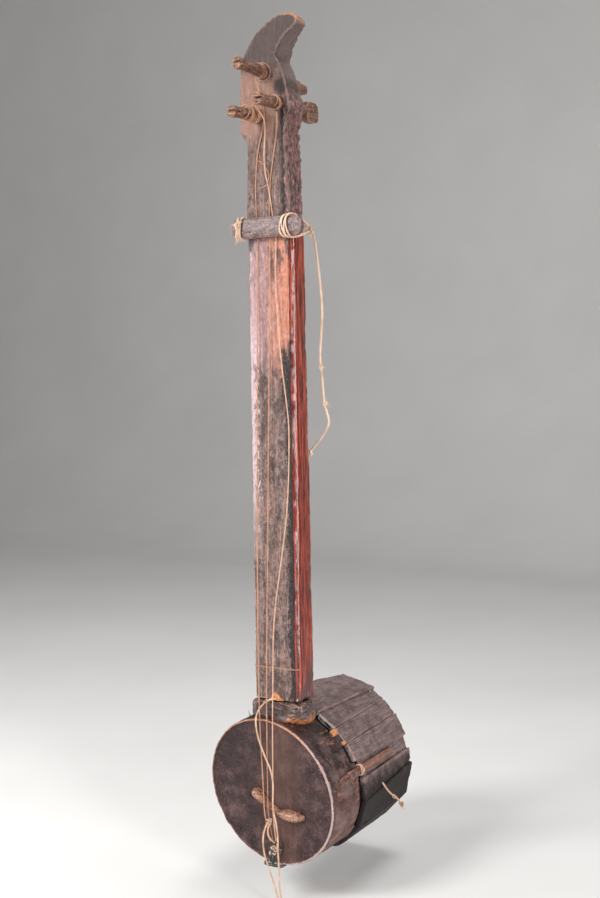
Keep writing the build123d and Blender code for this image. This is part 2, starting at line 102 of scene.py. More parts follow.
def noise(points, size, seed=0, octaves=3):
    """Smooth random value from -1 to 1 at each point. size is how wide its lumps are."""
    total, whole, share = 0, 0, 1
    for octave in range(octaves):
        place = np.asarray(points, float) / size * 2**octave
        cell = np.floor(place)
        t = place - cell
        t = t * t * (3 - 2 * t)
        value = 0
        for corner in itertools.product((0, 1), repeat=3):
            mixed = np.sin((cell + corner) @ (127.1, 311.7,
                                              74.7) + 53.3 * (seed + octave)) * 43758.5
            value = value + np.prod(np.where(corner, t, 1 - t), axis=-1) * (mixed - np.floor(mixed))
        total, whole, share = total + share * (2 * value - 1), whole + share, share / 2
    return total / whole


def spaced(line, gap):
    """The line again, with its points evenly spaced."""
    line = np.asarray(line, float)
    along = along_of(line)
    at = np.linspace(0, along[-1], max(3, round(along[-1] / gap) + 1))
    return np.stack([np.interp(at, along, line[:, k]) for k in range(3)], axis=1)


def along_of(line):
    """How far along a line each of its points is."""
    return np.concatenate([[0], np.cumsum(np.linalg.norm(np.diff(line, axis=0), axis=1))])


def across(line):
    """Two directions square to a line at each of its points, with no twist."""
    forward = np.gradient(line, axis=0)
    forward /= np.linalg.norm(forward, axis=1)[:, None]
    start = np.eye(3)[np.argmin(np.abs(forward[0]))]
    sides = []
    for ahead in forward:
        start = start - ahead * (start @ ahead)
        start = start / np.linalg.norm(start)
        sides.append(start)
    sides = np.array(sides)
    return sides, np.cross(forward, sides)


def tube(line, radius, sides=8, flat=1.0):
    """A closed tube (points, faces) round a line. radius may change along it; flat narrows it."""
    line = np.asarray(line, float)
    first, second = across(line)
    radius = np.broadcast_to(radius, len(line))[:, None, None]
    turn = np.arange(sides) * 2 * math.pi / sides
    rings = line[:, None] + radius * (first[
        :, None
    ] * np.cos(turn)[:, None] + flat * second[:, None] * np.sin(turn)[:, None])
    return skin_of(rings)


def skin_of(rings):
    """A closed surface (points, faces) over rings of points, with a point amid each end."""
    count, sides = rings.shape[:2]
    points = np.concatenate([rings.reshape(-1, 3), [rings[0].mean(0)], [rings[-1].mean(0)]])
    faces = []
    for ring, side in itertools.product(range(count - 1), range(sides)):
        a, b = ring * sides + side, ring * sides + (side + 1) % sides
        faces.append((a, b, b + sides, a + sides))
    first, last = count * sides, count * sides + 1
    for side in range(sides):
        after = (side + 1) % sides
        faces.append((first, after, side))
        faces.append((last, (count - 1) * sides + side, (count - 1) * sides + after))
    return points, faces


def twisted(line, diameter, pitch=0.007, seed=0):
    """The two plies of a twine, each a tube wound round the line."""
    line = spaced(line, pitch / 8)
    along = along_of(line)
    first, second = across(line)
    thick = 1 + 0.12 * noise(np.stack([along, along * 0, along * 0], 1), 0.006, seed)
    ply = diameter / 4 * thick
    shapes = []
    for start in (0, 0.5):
        turn = 2 * math.pi * (along / pitch + start)
        centre = line + (ply * np.cos(turn))[:,
                                             None] * first + (ply * np.sin(turn))[:, None] * second
        shapes.append(tube(centre, ply * PLY_OVERLAP, 7))
    return shapes


def mesh_piece(name, shapes):
    """One object made of several closed shapes, at the frame's origin."""
    points, faces, count = [], [], 0
    for part_points, part_faces in shapes:
        points.append(part_points)
        faces += [tuple(i + count for i in face) for face in part_faces]
        count += len(part_points)
    mesh = bpy.data.meshes.new(name)
    mesh.from_pydata(np.concatenate(points).tolist(), [], faces)
    mesh.validate()
    work = bmesh.new()
    work.from_mesh(mesh)
    bmesh.ops.recalc_face_normals(work, faces=work.faces)
    work.to_mesh(mesh)
    work.free()
    return object_of(name, mesh)


def object_of(name, mesh):
    """A smooth-shaded object for a mesh, linked to the scene."""
    mesh.shade_smooth()
    piece = bpy.data.objects.new(name, mesh)
    scene.collection.objects.link(piece)
    return piece


def dress(piece, body, slot, look, *nodes):
    """Put a piece on its body, with its material and the CAD nodes that it stands for."""
    piece.data.materials.clear()
    piece.data.materials.append(looks[look])
    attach(piece, body)
    if nodes:
        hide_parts(*nodes)
    return piece


def tied(name, shapes, body, look, *nodes, slot="twine"):
    """A piece of twine or string on its body."""
    return dress(mesh_piece(name, shapes), body, slot, look, *nodes)


def middle_and_half(node):
    """The middle of a CAD node's box, and half its size."""
    low, high = (np.array(corner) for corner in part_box(node))
    return (low + high) / 2, (high - low) / 2


def set_values(mesh, name, values):
    """Keep a value on each of a mesh's points, for its material."""
    data = mesh.attributes.new(name, "FLOAT", "POINT").data
    data.foreach_set("value", np.asarray(values, np.float32))


def fine_copy(node, voxel, relax):
    """A CAD node's shape again, as an even mesh of small faces."""
    work = bmesh.new()
    work.from_mesh(frame["nodes"][node].data)
    bmesh.ops.remove_doubles(work, verts=work.verts, dist=1e-6)
    mesh = bpy.data.meshes.new("source")
    work.to_mesh(mesh)
    work.free()
    holder = bpy.data.objects.new("source", mesh)
    scene.collection.objects.link(holder)
    remesh = holder.modifiers.new("remesh", "REMESH")
    remesh.mode = "VOXEL"
    remesh.voxel_size = voxel
    smooth = holder.modifiers.new("relax", "SMOOTH")
    smooth.iterations = relax
    graph = bpy.context.evaluated_depsgraph_get()
    made = bpy.data.meshes.new_from_object(holder.evaluated_get(graph))
    bpy.data.objects.remove(holder)
    bpy.data.meshes.remove(mesh)
    made.materials.clear()
    return made


def coordinates(mesh):
    """A mesh's points and normals as arrays."""
    points = np.zeros(len(mesh.vertices) * 3)
    normals = np.zeros(len(mesh.vertices) * 3)
    mesh.vertices.foreach_get("co", points)
    mesh.vertices.foreach_get("normal", normals)
    return points.reshape(-1, 3), normals.reshape(-1, 3)


def outer_edges(mesh, voxel, rounds=8):
    """How far each point stands out of its smoothed surroundings, in voxels."""
    points, normals = coordinates(mesh)
    ends = np.zeros(len(mesh.edges) * 2, int)
    mesh.edges.foreach_get("vertices", ends)
    ends = ends.reshape(-1, 2)
    count = np.bincount(ends.ravel(), minlength=len(points))[:, None]
    smoothed = points.copy()
    for _ in range(rounds):
        total = np.zeros_like(smoothed)
        np.add.at(total, ends[:, 0], smoothed[ends[:, 1]])
        np.add.at(total, ends[:, 1], smoothed[ends[:, 0]])
        smoothed = total / count
    return ((points - smoothed) * normals).sum(1) / voxel


def worn(name, node, voxel, grain, depth, chips, seed, relax, reshape=None):
    """A worn copy of a CAD node. grain is the width of its lumps along X, Y and Z, depth their
    height, and chips how deep its edges are broken away. reshape bends the points first."""
    mesh = fine_copy(node, voxel, relax)
    edge = np.clip(outer_edges(mesh, voxel) * 1.6, -1, 1)
    points, normals = coordinates(mesh)
    if reshape:
        points = reshape(points, normals)
    lumps = depth * noise(points, np.array(grain), seed)
    broken = chips * np.clip(edge, 0, 1) * step(0.0, 0.5, noise(points, 0.011, seed + 7))
    points = points + normals * (lumps - broken)[:, None]
    mesh.vertices.foreach_set("co", points.ravel())
    set_values(mesh, "edge", edge)
    mesh.update()
    return object_of(name, mesh)


def line_along(route):
    """Points along the smooth line of a cord's route."""
    curve = bpy.data.curves.new("line", "CURVE")
    curve.dimensions = "3D"
    curve.resolution_u = 16
    spline = curve.splines.new("NURBS")
    spline.points.add(len(route) - 1)
    for point, place in zip(spline.points, route):
        point.co = (*place, 1)
    spline.order_u = 3
    spline.use_endpoint_u = True
    holder = bpy.data.objects.new("line", curve)
    mesh = bpy.data.meshes.new_from_object(holder)
    points = np.array([v.co for v in mesh.vertices])
    bpy.data.meshes.remove(mesh)
    bpy.data.objects.remove(holder)
    bpy.data.curves.remove(curve)
    return points


def knot_line(centre, size, turn=0.0, tall=1.0):
    """An overhand knot's line round a centre, drawn tight."""
    t = np.linspace(0, 2 * math.pi, 60)
    x, y, z = np.sin(t) + 2 * np.sin(2 * t), -np.sin(3 * t), tall * (np.cos(t) - 2 * np.cos(2 * t))
    c, s = math.cos(turn), math.sin(turn)
    return np.array(centre) + size / 6 * np.stack([c * x - s * z, y, s * x + c * z], 1)


def knot(centre, size, thickness, turn):
    """A small tight knot as one tube."""
    return tube(spaced(knot_line(centre, size, turn), thickness / 3), thickness / 2)


# ---- Materials ---------------------------------------------------------------------


class Value:
    """A shader value that sums can be made with."""

    def __init__(self, look, socket):
        self.look, self.socket = look, socket

    def __add__(self, other):
        return self.look.math("ADD", self, other)

    def __sub__(self, other):
        return self.look.math("SUBTRACT", self, other)

    def __rsub__(self, other):
        return self.look.math("SUBTRACT", other, self)

    def __mul__(self, other):
        return self.look.math("MULTIPLY", self, other)


class Look:
    """A procedural material in the making. Its textures lie in the part's frame, in metres."""

    def __init__(self, name, **values):
        self.material = bpy.data.materials.new(name)
        self.material.use_nodes = True
        self.shader = self.material.node_tree.nodes["Principled BSDF"]
        self.normal = None
        for socket, value in values.items():
            self.shader.inputs[socket.replace("_", " ")].default_value = value
        self.place = self.node("TexCoord").outputs["Object"]
        places = self.node("SeparateXYZ", Vector=self.place).outputs
        self.x, self.y, self.z = (Value(self, socket) for socket in places)

    def node(self, kind, settings=(), **inputs):
        """A new shader node with its settings and its inputs, by name or by number."""
        made = self.material.node_tree.nodes.new("ShaderNode" + kind)
        for key, value in dict(settings).items():
            setattr(made, key, value)
        for key, value in inputs.items():
            self.join(made.inputs[int(key[1:]) if key[0] == "_" else key], value)
        return made

    def join(self, socket, value):
        """Link a socket to another, or give it a value."""
        value = getattr(value, "socket", value)
        if isinstance(value, bpy.types.NodeSocket):
            self.material.node_tree.links.new(value, socket)
        elif socket.type == "RGBA":
            socket.default_value = (*value, 1)
        else:
            socket.default_value = value

    def noise(self, sizes, seed=0, detail=5, roughness=0.55, distortion=0.0):
        """Cloudy value from 0 to 1 with lumps of these sizes along X, Y and Z."""
        sizes = np.broadcast_to(sizes, 3)
        place = self.node("VectorMath", {"operation": "MULTIPLY_ADD"}, _0=self.place,
                          _1=tuple(1 / sizes), _2=(seed * 7.3, seed * 3.1, seed * 5.7)).outputs[0]
        texture = self.node("TexNoise", Vector=place, Scale=1.0, Detail=detail, Roughness=roughness,
                            Distortion=distortion)
        return Value(self, texture.outputs["Fac"])

    def attribute(self, name):
        """A value kept on the mesh's points."""
        return Value(self, self.node("Attribute", {"attribute_name": name}).outputs["Fac"])

    def math(self, operation, a, b=0.0):
        """One sum of two values."""
        return Value(self, self.node("Math", {"operation": operation}, _0=a, _1=b).outputs[0])

    def most(self, a, b):
        """The larger of two values."""
        return self.math("MAXIMUM", a, b)

    def step(self, low, high, value):
        """0 below low, 1 above high and smooth between them; low may be the larger."""
        made = self.node("MapRange", {"interpolation_type": "SMOOTHSTEP"}, Value=value)
        made.inputs["From Min"].default_value = min(low, high)
        made.inputs["From Max"].default_value = max(low, high)
        made.inputs["To Min"].default_value = 0 if low < high else 1
        made.inputs["To Max"].default_value = 1 if low < high else 0
        return Value(self, made.outputs["Result"])

    def ramp(self, value, *stops):
        """Colours along a value."""
        made = self.node("ValToRGB", _0=value)
        elements = made.color_ramp.elements
        for _ in stops[2:]:
            elements.new(0.5)
        for element, (at, colour) in zip(elements, stops):
            element.position = at
            element.color = (*colour, 1)
        return made.outputs["Color"]

    def mix(self, share, a, b):
        """Colour a, with that share of colour b."""
        made = self.node("Mix", {"data_type": "RGBA"}, _0=share, _6=a, _7=b)
        return made.outputs[2]

    def raised(self, height, distance):
        """Make the surface uneven by a height."""
        made = self.node("Bump", Height=height, Distance=distance)
        if self.normal:
            self.join(made.inputs["Normal"], self.normal)
        self.normal = made.outputs["Normal"]

    def finish(self, colour, roughness=None):
        """Join the colour, the roughness and the unevenness to the shader."""
        self.join(self.shader.inputs["Base Color"], colour)
        if roughness is not None:
            self.join(self.shader.inputs["Roughness"], roughness)
        if self.normal:
            self.join(self.shader.inputs["Normal"], self.normal)
        return self.material


RAW_ORANGE = (0.50, 0.20, 0.07)
# Near-black: soot and black lacquer on the neck, and painted shade low on the staves and on their
# front ends
SOOT_AND_SHADE = (0.010, 0.007, 0.007)


def neck_look():
    """Dark lacquer, intact and reddish under the bar, worn to grey wood below it."""
    look = Look("neck_lacquer", Specular_IOR_Level=0.42)
    mix, fade, ramp = look.mix, look.step, look.ramp
    streaks = look.noise((0.0016, 0.0016, 0.045), 1, 6)
    mottle = look.noise((0.0032, 0.0032, 0.0060), 8, 6, 0.7)
    grain = streaks * 0.5 + mottle * 0.5
    blotch = look.noise((0.016, 0.016, 0.035), 2, 5, 0.6)
    fleck = look.noise((0.0018, 0.0018, 0.0028), 3, 4, 0.75)
    flake = look.noise((0.006, 0.006, 0.010), 4, 6, 0.65, 0.4)
    edge = look.attribute("edge")

    # Bare weathered wood, on the head and the lower neck
    bare = ramp(grain, (0.37, (0.036, 0.019, 0.016)), (0.5, (0.145, 0.088, 0.074)),
                (0.64, (0.32, 0.22, 0.195)))
    bare = mix(fade(0.54, 0.68, fleck) * 0.8, bare, (0.46, 0.34, 0.3))
    bare = mix(fade(0.52, 0.38, blotch) * 0.65, bare, (0.055, 0.032, 0.028))
    bare = mix(fade(0.56, 0.62, flake) * 0.55, bare, (0.3, 0.225, 0.21))
    bare = mix(fade(0.44, 0.38, flake) * 0.7, bare, (0.03, 0.018, 0.016))
    bare = mix(fade(0.57, 0.72, blotch) * 0.5, bare, (0.34, 0.15, 0.11))

    # Painted shade: the head darkens upwards, most of all at its top and down its right side;
    # the hook's side faces are painted a lighter grey over that shade
    high = look.z + (blotch - 0.5) * 0.1
    right = look.x + (flake - 0.5) * 0.02
    painted_head_shade = look.most(fade(0.245, 0.285, high),
                          fade(0.017, 0.028, right) * fade(0.15, 0.19, high))
    bare = mix(fade(0.02, 0.16, look.z) * 0.4, bare, (0.105, 0.058, 0.044))
    bare = mix(painted_head_shade * 0.85, bare, mix(grain, (0.012, 0.008, 0.007), (0.085, 0.057, 0.052)))
    hook_side = fade(-0.0385, -0.0345, look.y) * fade(0.225, 0.255, look.z)
    bare = mix(hook_side * 0.85, bare, mix(grain, (0.045, 0.03, 0.028), (0.22, 0.155, 0.145)))
    centre = fade(0.262, 0.24, high) * fade(0.15, 0.19, high)
    centre = centre * fade(0.019, 0.01, right)
    bare = mix(centre * 0.5, bare, (0.33, 0.175, 0.125))
    # Two dark round spots on the right of the head's front
    for x, z in ((0.024, 0.236), (0.031, 0.190)):
        off = look.math("POWER", look.x - x, 2.0)
        off = off + look.math("POWER", look.z - z, 2.0)
        dark_spot = fade(0.00022, 2e-05, off + (flake - 0.5) * 0.0002)
        bare = mix(dark_spot * 0.85, bare, (0.03, 0.018, 0.014))

    # Intact lacquer under the bar: orange brown on the right, pink-grey on the left with a painted
    # sheen in it
    band = look.z + (blotch - 0.5) * 0.14
    intact = fade(-0.2, -0.12, band) * fade(0.045, 0.02, look.z)
    sideways = look.x + (streaks - 0.5) * 0.024
    lacquer = ramp(fade(-0.038, 0.034, sideways), (0.0, (0.44, 0.29, 0.29)),
                   (0.38, (0.26, 0.145, 0.14)), (0.66, (0.5, 0.23, 0.165)),
                   (1.0, (0.46, 0.16, 0.085)))
    lacquer = mix(fade(0.56, 0.42, grain) * 0.55, lacquer, (0.13, 0.05, 0.042))
    lacquer = mix(fade(0.55, 0.61, flake) * 0.35, lacquer, (0.5, 0.36, 0.34))
    # Dark blotches just under the bar
    dark_under_bar = fade(0.49, 0.4, blotch) * fade(-0.06, -0.01, look.z)
    lacquer = mix(dark_under_bar * 0.8, lacquer, (0.045, 0.028, 0.028))
    colour = mix(intact, bare, lacquer)

    # A ragged black strip on the right of the front
    ragged = look.x + (flake - 0.5) * 0.03
    strip = fade(0.0225, 0.0265, ragged) * fade(-0.12, -0.16, look.z)
    patch = fade(0.014, 0.022, ragged) * fade(-0.125, -0.15, band)
    patch = patch * fade(-0.245, -0.215, band)
    below_bar = fade(0.045, 0.02, look.z)
    black = look.most(strip, patch) * below_bar
    colour = mix(black, colour, mix(fade(0.48, 0.66, fleck), SOOT_AND_SHADE, (0.11, 0.075, 0.07)))

    # A pale streak down the left edge: painted sheen over the lacquer left there, which is glossier
    # too
    left = look.x + (flake - 0.5) * 0.06
    pale = fade(-0.02, -0.027, left) * fade(-0.48, -0.3, band)
    pale = pale * (fade(-0.08, -0.14, look.z) * 0.85)
    colour = mix(pale, colour, (0.50, 0.38, 0.39))

    # Red-brown lacquer on the sides and back, below the bar
    beside = look.most(fade(0.0312, 0.0326, look.x), fade(-0.0350, -0.0366, look.x))
    beside = look.most(beside, fade(-0.037, -0.032, look.y))
    red = ramp(look.noise((0.0024, 0.0024, 0.07), 5, 6, 0.65), (0.38, (0.026, 0.004, 0.003)),
               (0.5, (0.15, 0.02, 0.014)), (0.62, (0.38, 0.072, 0.036)))
    red = mix(fade(0.58, 0.64, fleck) * 0.8, red, (0.022, 0.008, 0.006))
    red = mix(fade(0.58, 0.68, flake) * 0.7, red, (0.04, 0.012, 0.01))
    foot = fade(-0.575, -0.64, look.z + flake * 0.03)
    red = mix(foot * fade(0.6, 0.42, blotch), red, (0.04, 0.026, 0.032))
    sides = beside * below_bar
    colour = mix(sides, colour, red)

    # Charred bark on the sides between the bar and the head
    rough_z = fade(0.04, 0.06, look.z) * fade(0.245, 0.21, look.z)
    wane = fade(0.019, 0.025, right) * rough_z
    bark = ramp(look.noise((0.0034, 0.0034, 0.01), 6, 7, 0.75), (0.4, SOOT_AND_SHADE),
                (0.5, (0.11, 0.07, 0.066)), (0.58, (0.26, 0.085, 0.07)), (0.7, (0.5, 0.42, 0.42)))
    bark = mix(fade(0.0285, 0.0255, right), bark, SOOT_AND_SHADE)
    colour = mix(wane, colour, bark)

    # Rubbed edges, orange at the head's tip and pale elsewhere
    rubbed = fade(0.3, 0.75, edge + (flake - 0.5) * 1.6) * 0.7
    tip = fade(0.319, 0.329, look.z) * fade(0.022, 0.03, look.x)
    rub_colour = mix(tip, (0.19, 0.125, 0.110), RAW_ORANGE)
    above_bar = fade(0.02, 0.05, look.z)
    colour = mix(rubbed * above_bar, colour, rub_colour)
    chipped = rubbed * fade(-0.3, -0.36, look.z) * fade(0.0, -0.02, look.x)
    colour = mix(chipped, colour, (0.40, 0.31, 0.30))

    gloss = look.most(look.most(intact * 0.8, sides), pale)
    dull = black * (1 - sides) * 0.7
    gloss = gloss * (1 - dull)
    calm = 1 - sides * 0.88
    roughness = (gloss - 1) * -0.55 + 0.18
    roughness = roughness + (flake - 0.5) * 0.22 * calm
    look.raised(grain * calm * (1 - gloss * 0.4), 0.0026)
    look.raised(flake * calm, 0.0032)
    look.raised(look.noise((0.01, 0.01, 0.014), 7, 3) * calm, 0.0026)
    return look.finish(colour, roughness)


def wood_look(name, grain, dark, middle, light, seed, rub=RAW_ORANGE, rubbed=0.8, rough=0.62,
              bump=0.0014, shade_below=None, stain=None, shaded_ends_lit_edges=None, shine=0.5):
    """Worn wood with its grain along the longest of the three grain sizes. Below the height
    shade_below it is painted dark as shade. A stain is a colour right of an x and below a z. In
    front of the depth shaded_ends_lit_edges the ends are painted dark as shade and their edges
    pale, partly rubbed wear and partly painted highlight."""
    look = Look(name, Specular_IOR_Level=shine)
    mix, fade, ramp = look.mix, look.step, look.ramp
    fibre = look.noise(grain, seed, 6, 0.62)
    lumps = look.noise(sorted(grain)[1] * 2.2, seed + 3, 5, 0.65)
    fibre = fibre * 0.6 + lumps * 0.4
    blotch = look.noise(max(grain) / 3, seed + 1, 4)
    fleck = look.noise(min(grain) * 1.6, seed + 2, 3, 0.7)
    colour = ramp(fibre, (0.36, dark), (0.50, middle), (0.66, light))
    colour = mix(fade(0.54, 0.38, blotch) * 0.6, colour, dark)
    colour = mix(fade(0.58, 0.7, fleck) * 0.6, colour, light)
    edge = look.attribute("edge") + (blotch - 0.5) * 1.8
    colour = mix(fade(0.35, 0.85, edge) * rubbed, colour, rub)
    if shade_below:
        # Painted shade: below this height the wood is darkened almost to black
        low = fade(shade_below, shade_below - 0.03, look.z + (blotch - 0.5) * 0.03)
        colour = mix(low * 0.94, colour, SOOT_AND_SHADE)
    if stain:
        stain_x, stain_z, stain_colour = stain
        waver = (lumps - 0.5) * 0.05
        beyond = fade(stain_x, stain_x + 0.01, look.x + waver)
        where = beyond * fade(stain_z, stain_z - 0.006, look.z + waver)
        colour = mix(where * fade(0.42, 0.52, fibre), colour, stain_colour)
    if shaded_ends_lit_edges:
        # Painted shade on the boards' front ends down in the slots, and a pale line on their front
        # edges, partly rubbed wear and partly painted highlight
        end = fade(shaded_ends_lit_edges, shaded_ends_lit_edges - 0.001, look.y)
        colour = mix(end * 0.85, colour, SOOT_AND_SHADE)
        bright = fade(shaded_ends_lit_edges + 0.003, shaded_ends_lit_edges, look.y) * fade(0.62, 0.85, edge)
        colour = mix(bright * 0.8, colour, (0.46, 0.4, 0.38))
    look.raised(fibre, bump)
    look.raised(fleck, bump * 0.6)
    roughness = (fleck - 0.5) * 0.3 + rough
    return look.finish(colour, roughness)


def hide_look():
    """Dried smoky hide: brown grey on the face, dark down the sides, rubbed pale on the rim."""
    look = Look("drum_hide", Specular_IOR_Level=0.28)
    mix, fade, ramp = look.mix, look.step, look.ramp
    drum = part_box("skin_head")
    middle_x, middle_z = (drum[0].x + drum[1].x) / 2, (drum[0].z + drum[1].z) / 2
    mottle = look.noise(0.024, 11, 6, 0.62)
    fine = look.noise(0.0020, 12, 4, 0.75)
    crease = look.noise((0.004, 0.03, 0.05), 13, 5, 0.6)
    fold = look.noise((0.010, 0.030, 0.010), 15, 5, 0.6, 0.6)
    shade = mottle * 0.6 + fine * 0.4
    colour = ramp(shade, (0.36, (0.008, 0.004, 0.004)), (0.5, (0.036, 0.018, 0.018)),
                  (0.64, (0.115, 0.066, 0.06)))
    # Brown where the strings and the player's hand have rubbed the middle
    off_x = look.x - (middle_x + 0.014)
    waver = (crease - 0.5) * 0.06
    streak = fade(0.046, 0.004, look.math("ABSOLUTE", off_x + waver))
    colour = mix(streak * 0.36, colour, (0.17, 0.085, 0.062))
    # Darker at the upper left corner
    upper = fade(middle_z + 0.02, middle_z + 0.06, look.z)
    corner = upper * fade(middle_x - 0.03, middle_x - 0.06, look.x)
    colour = mix(corner * 0.6, colour, (0.012, 0.007, 0.007))
    colour = mix(fade(0.6, 0.72, fine) * 0.5, colour, (0.22, 0.155, 0.14))
    colour = mix(fade(0.4, 0.3, fine) * 0.6, colour, (0.012, 0.007, 0.007))
    # Reddish where the sleeve is stretched, low on the right
    side = fade(-0.047, -0.040, look.y)
    low_right = side * fade(middle_x + 0.02, middle_x + 0.08, look.x)
    low_right = low_right * fade(middle_z + 0.05, middle_z - 0.03, look.z)
    ruddy = ramp(fold, (0.36, (0.05, 0.022, 0.02)), (0.5, (0.115, 0.05, 0.042)),
                 (0.64, (0.24, 0.115, 0.09)))
    colour = mix(low_right * 0.75, colour, ruddy)
    right_side = side * fade(middle_x + 0.03, middle_x + 0.08, look.x)
    colour = mix(right_side * fade(0.44, 0.6, mottle) * 0.45, colour, (0.2, 0.135, 0.125))
    colour = mix(side * upper * 0.45, colour, (0.014, 0.009, 0.009))
    rusty = side * fade(0.58, 0.68, fold) * 0.65
    colour = mix(rusty, colour, (0.30, 0.115, 0.060))
    wear = look.attribute("wear")
    ragged = wear + (look.noise(0.0035, 14, 5, 0.7) - 0.5) * 2.0
    angle = fade(middle_x - 0.05, middle_x + 0.06, look.x)
    rim = mix(angle, (0.22, 0.105, 0.07), mix(mottle, (0.22, 0.12, 0.1), (0.56, 0.42, 0.4)))
    top = fade(middle_z + 0.06, middle_z + 0.09, look.z) * 0.7
    rim = mix(top, rim, (0.42, 0.20, 0.11))
    wider = fade(middle_x + 0.01, middle_x + 0.07, look.x) * fade(0.6, 0.4, mottle)
    colour = mix(fade(0.5, 0.8, ragged + wider * 0.35), colour, rim)
    look.raised(crease, 0.0020)
    look.raised(fold, 0.0030)
    look.raised(mottle, 0.0024)
    look.raised(fine, 0.0007)
    roughness = mottle * 0.35 + 0.34
    return look.finish(colour, roughness)


def twine_look(name, dark, light, seed, fibre=0.0006):
    """Twisted plant fibre, dusty in places."""
    look = Look(name, Roughness=0.85, Sheen_Weight=0.25)
    strand = look.noise((fibre, fibre, fibre * 6), seed, 4, 0.7)
    dust = look.noise(0.012, seed + 1, 3)
    colour = look.ramp(strand * 0.6 + dust * 0.4, (0.36, dark), (0.62, light))
    look.raised(strand, 0.0006)
    return look.finish(colour)


looks = {
    "neck": neck_look(),
    "peg": wood_look(
        "peg_wood", (0.0012, 0.02, 0.0012), (0.028, 0.013, 0.01), (0.125, 0.056, 0.036),
        (0.32, 0.17, 0.11), 21, rub=(0.5, 0.23, 0.11), rubbed=0.45, rough=0.28
    ),
    "bar": wood_look(
        "bar_wood", (0.014, 0.0016, 0.0016), (0.035, 0.016, 0.015), (0.12, 0.07, 0.064),
        (0.26, 0.165, 0.152), 31, rub=(0.3, 0.18, 0.16), rubbed=0.5, rough=0.3, bump=0.0009
    ),
    # Staves: painted shade below z -0.768 and on their front ends
    "stave": wood_look(
        "stave_wood", (0.0016, 0.05, 0.0016), (0.07, 0.046, 0.043), (0.155, 0.11, 0.106),
        (0.29, 0.215, 0.205), 41, rub=(0.32, 0.2, 0.17), rubbed=0.4, rough=0.6, bump=0.0016,
        shade_below=-0.768, shaded_ends_lit_edges=0.0285, shine=0.2
    ),
    "raw": wood_look("raw_chip", (0.002, 0.002, 0.01), (0.22, 0.07, 0.025), (0.5, 0.2, 0.07),
                     (0.62, 0.33, 0.15), 51, rubbed=0.3),
    "shell": wood_look(
        "shell_wood", (0.02, 0.03, 0.02), (0.006, 0.004, 0.004), (0.018, 0.012, 0.01),
        (0.04, 0.028, 0.024), 61, rub=(0.08, 0.05, 0.04), rubbed=0.4, rough=0.8
    ),
    "saddle": wood_look(
        "saddle_wood", (0.012, 0.006, 0.003), (0.01, 0.006, 0.005), (0.06, 0.034, 0.03),
        (0.22, 0.15, 0.135), 71, rub=(0.32, 0.15, 0.09), rubbed=0.3, rough=0.16,
        stain=(0.012, -0.668, (0.36, 0.13, 0.045))
    ),
    "bridge": wood_look(
        "bridge_wood", (0.009, 0.003, 0.003), (0.07, 0.028, 0.015), (0.22, 0.098, 0.058),
        (0.42, 0.23, 0.15), 81, rub=(0.52, 0.3, 0.21), rubbed=0.4, rough=0.36
    ),
    "bamboo": wood_look(
        "bamboo", (0.0012, 0.05, 0.0012), (0.065, 0.023, 0.015), (0.2, 0.08, 0.052),
        (0.38, 0.2, 0.145), 91, rub=(0.4, 0.19, 0.12), rubbed=0.5, rough=0.22
    ),
    "tab": wood_look(
        "folded_hide", (0.004, 0.012, 0.004), (0.036, 0.015, 0.013), (0.125, 0.055, 0.044),
        (0.3, 0.16, 0.13), 95, rub=(0.36, 0.2, 0.16), rubbed=0.5, rough=0.2
    ),
    "hide": hide_look(),
    "twine": twine_look("nut_twine", (0.36, 0.21, 0.13), (0.76, 0.56, 0.42), 101),
    "face_cord": twine_look("face_twine", (0.34, 0.18, 0.105), (0.72, 0.48, 0.34), 103),
    "gut": twine_look("gut", (0.26, 0.11, 0.055), (0.55, 0.28, 0.17), 105),
    "wound": twine_look("wound_string", (0.2, 0.085, 0.045), (0.54, 0.27, 0.155), 106),
    "slack": twine_look("slack_string", (0.36, 0.19, 0.11), (0.68, 0.43, 0.29), 107),
    "pale": twine_look("pale_knots", (0.46, 0.36, 0.3), (0.8, 0.68, 0.6), 109),
    "charred": twine_look("dark_knots", (0.014, 0.01, 0.009), (0.07, 0.05, 0.045), 111),
}

# ---- Free cords --------------------------------------------------------------------

nut_twine_route = [
    (0.0456, 0.0055, 0.0366), (0.05, 0.006, 0.025), (0.053, 0.0065, 0.0), (0.058, 0.006, -0.036),
    (0.0623, 0.005, -0.08), (0.0595, 0.005, -0.118), (0.0556, 0.006, -0.15), (0.06, 0.006, -0.176),
    (0.0612, 0.006, -0.205), (0.066, 0.0055, -0.226), (0.0715, 0.005, -0.241),
    (0.066, 0.005, -0.255), (0.055, 0.006, -0.268), (0.044, 0.008, -0.278), (0.0355, 0.01, -0.287)
]
string_1_route = [
    (-0.013, -0.048, 0.2495), (-0.009, -0.0436, 0.23), (-0.0028, -0.0422, 0.208),
    (-0.0026, -0.042, 0.187), (-0.013, -0.0418, 0.154), (-0.0178, -0.0414, 0.128),
    (-0.0199, -0.0414, 0.084), (-0.018, -0.0414, 0.05), (-0.0178, -0.0414, 0.014),
    (-0.019, -0.044, -0.12), (-0.02, -0.051, -0.354), (-0.0196, -0.058, -0.647),
    (-0.0104, -0.062, -0.785), (-0.0102, -0.062, -0.817), (-0.002, -0.058, -0.86)
]
string_2_route = [
    (0.02, -0.047, 0.199), (0.0198, -0.0426, 0.187), (0.0145, -0.0418, 0.156),
    (0.0058, -0.0414, 0.109), (0.003, -0.0414, 0.08), (0.0034, -0.0414, 0.014),
    (-0.0015, -0.051, -0.354), (-0.006, -0.058, -0.647), (-0.0036, -0.062, -0.785),
    (-0.0034, -0.062, -0.817), (0.003, -0.058, -0.86)
]
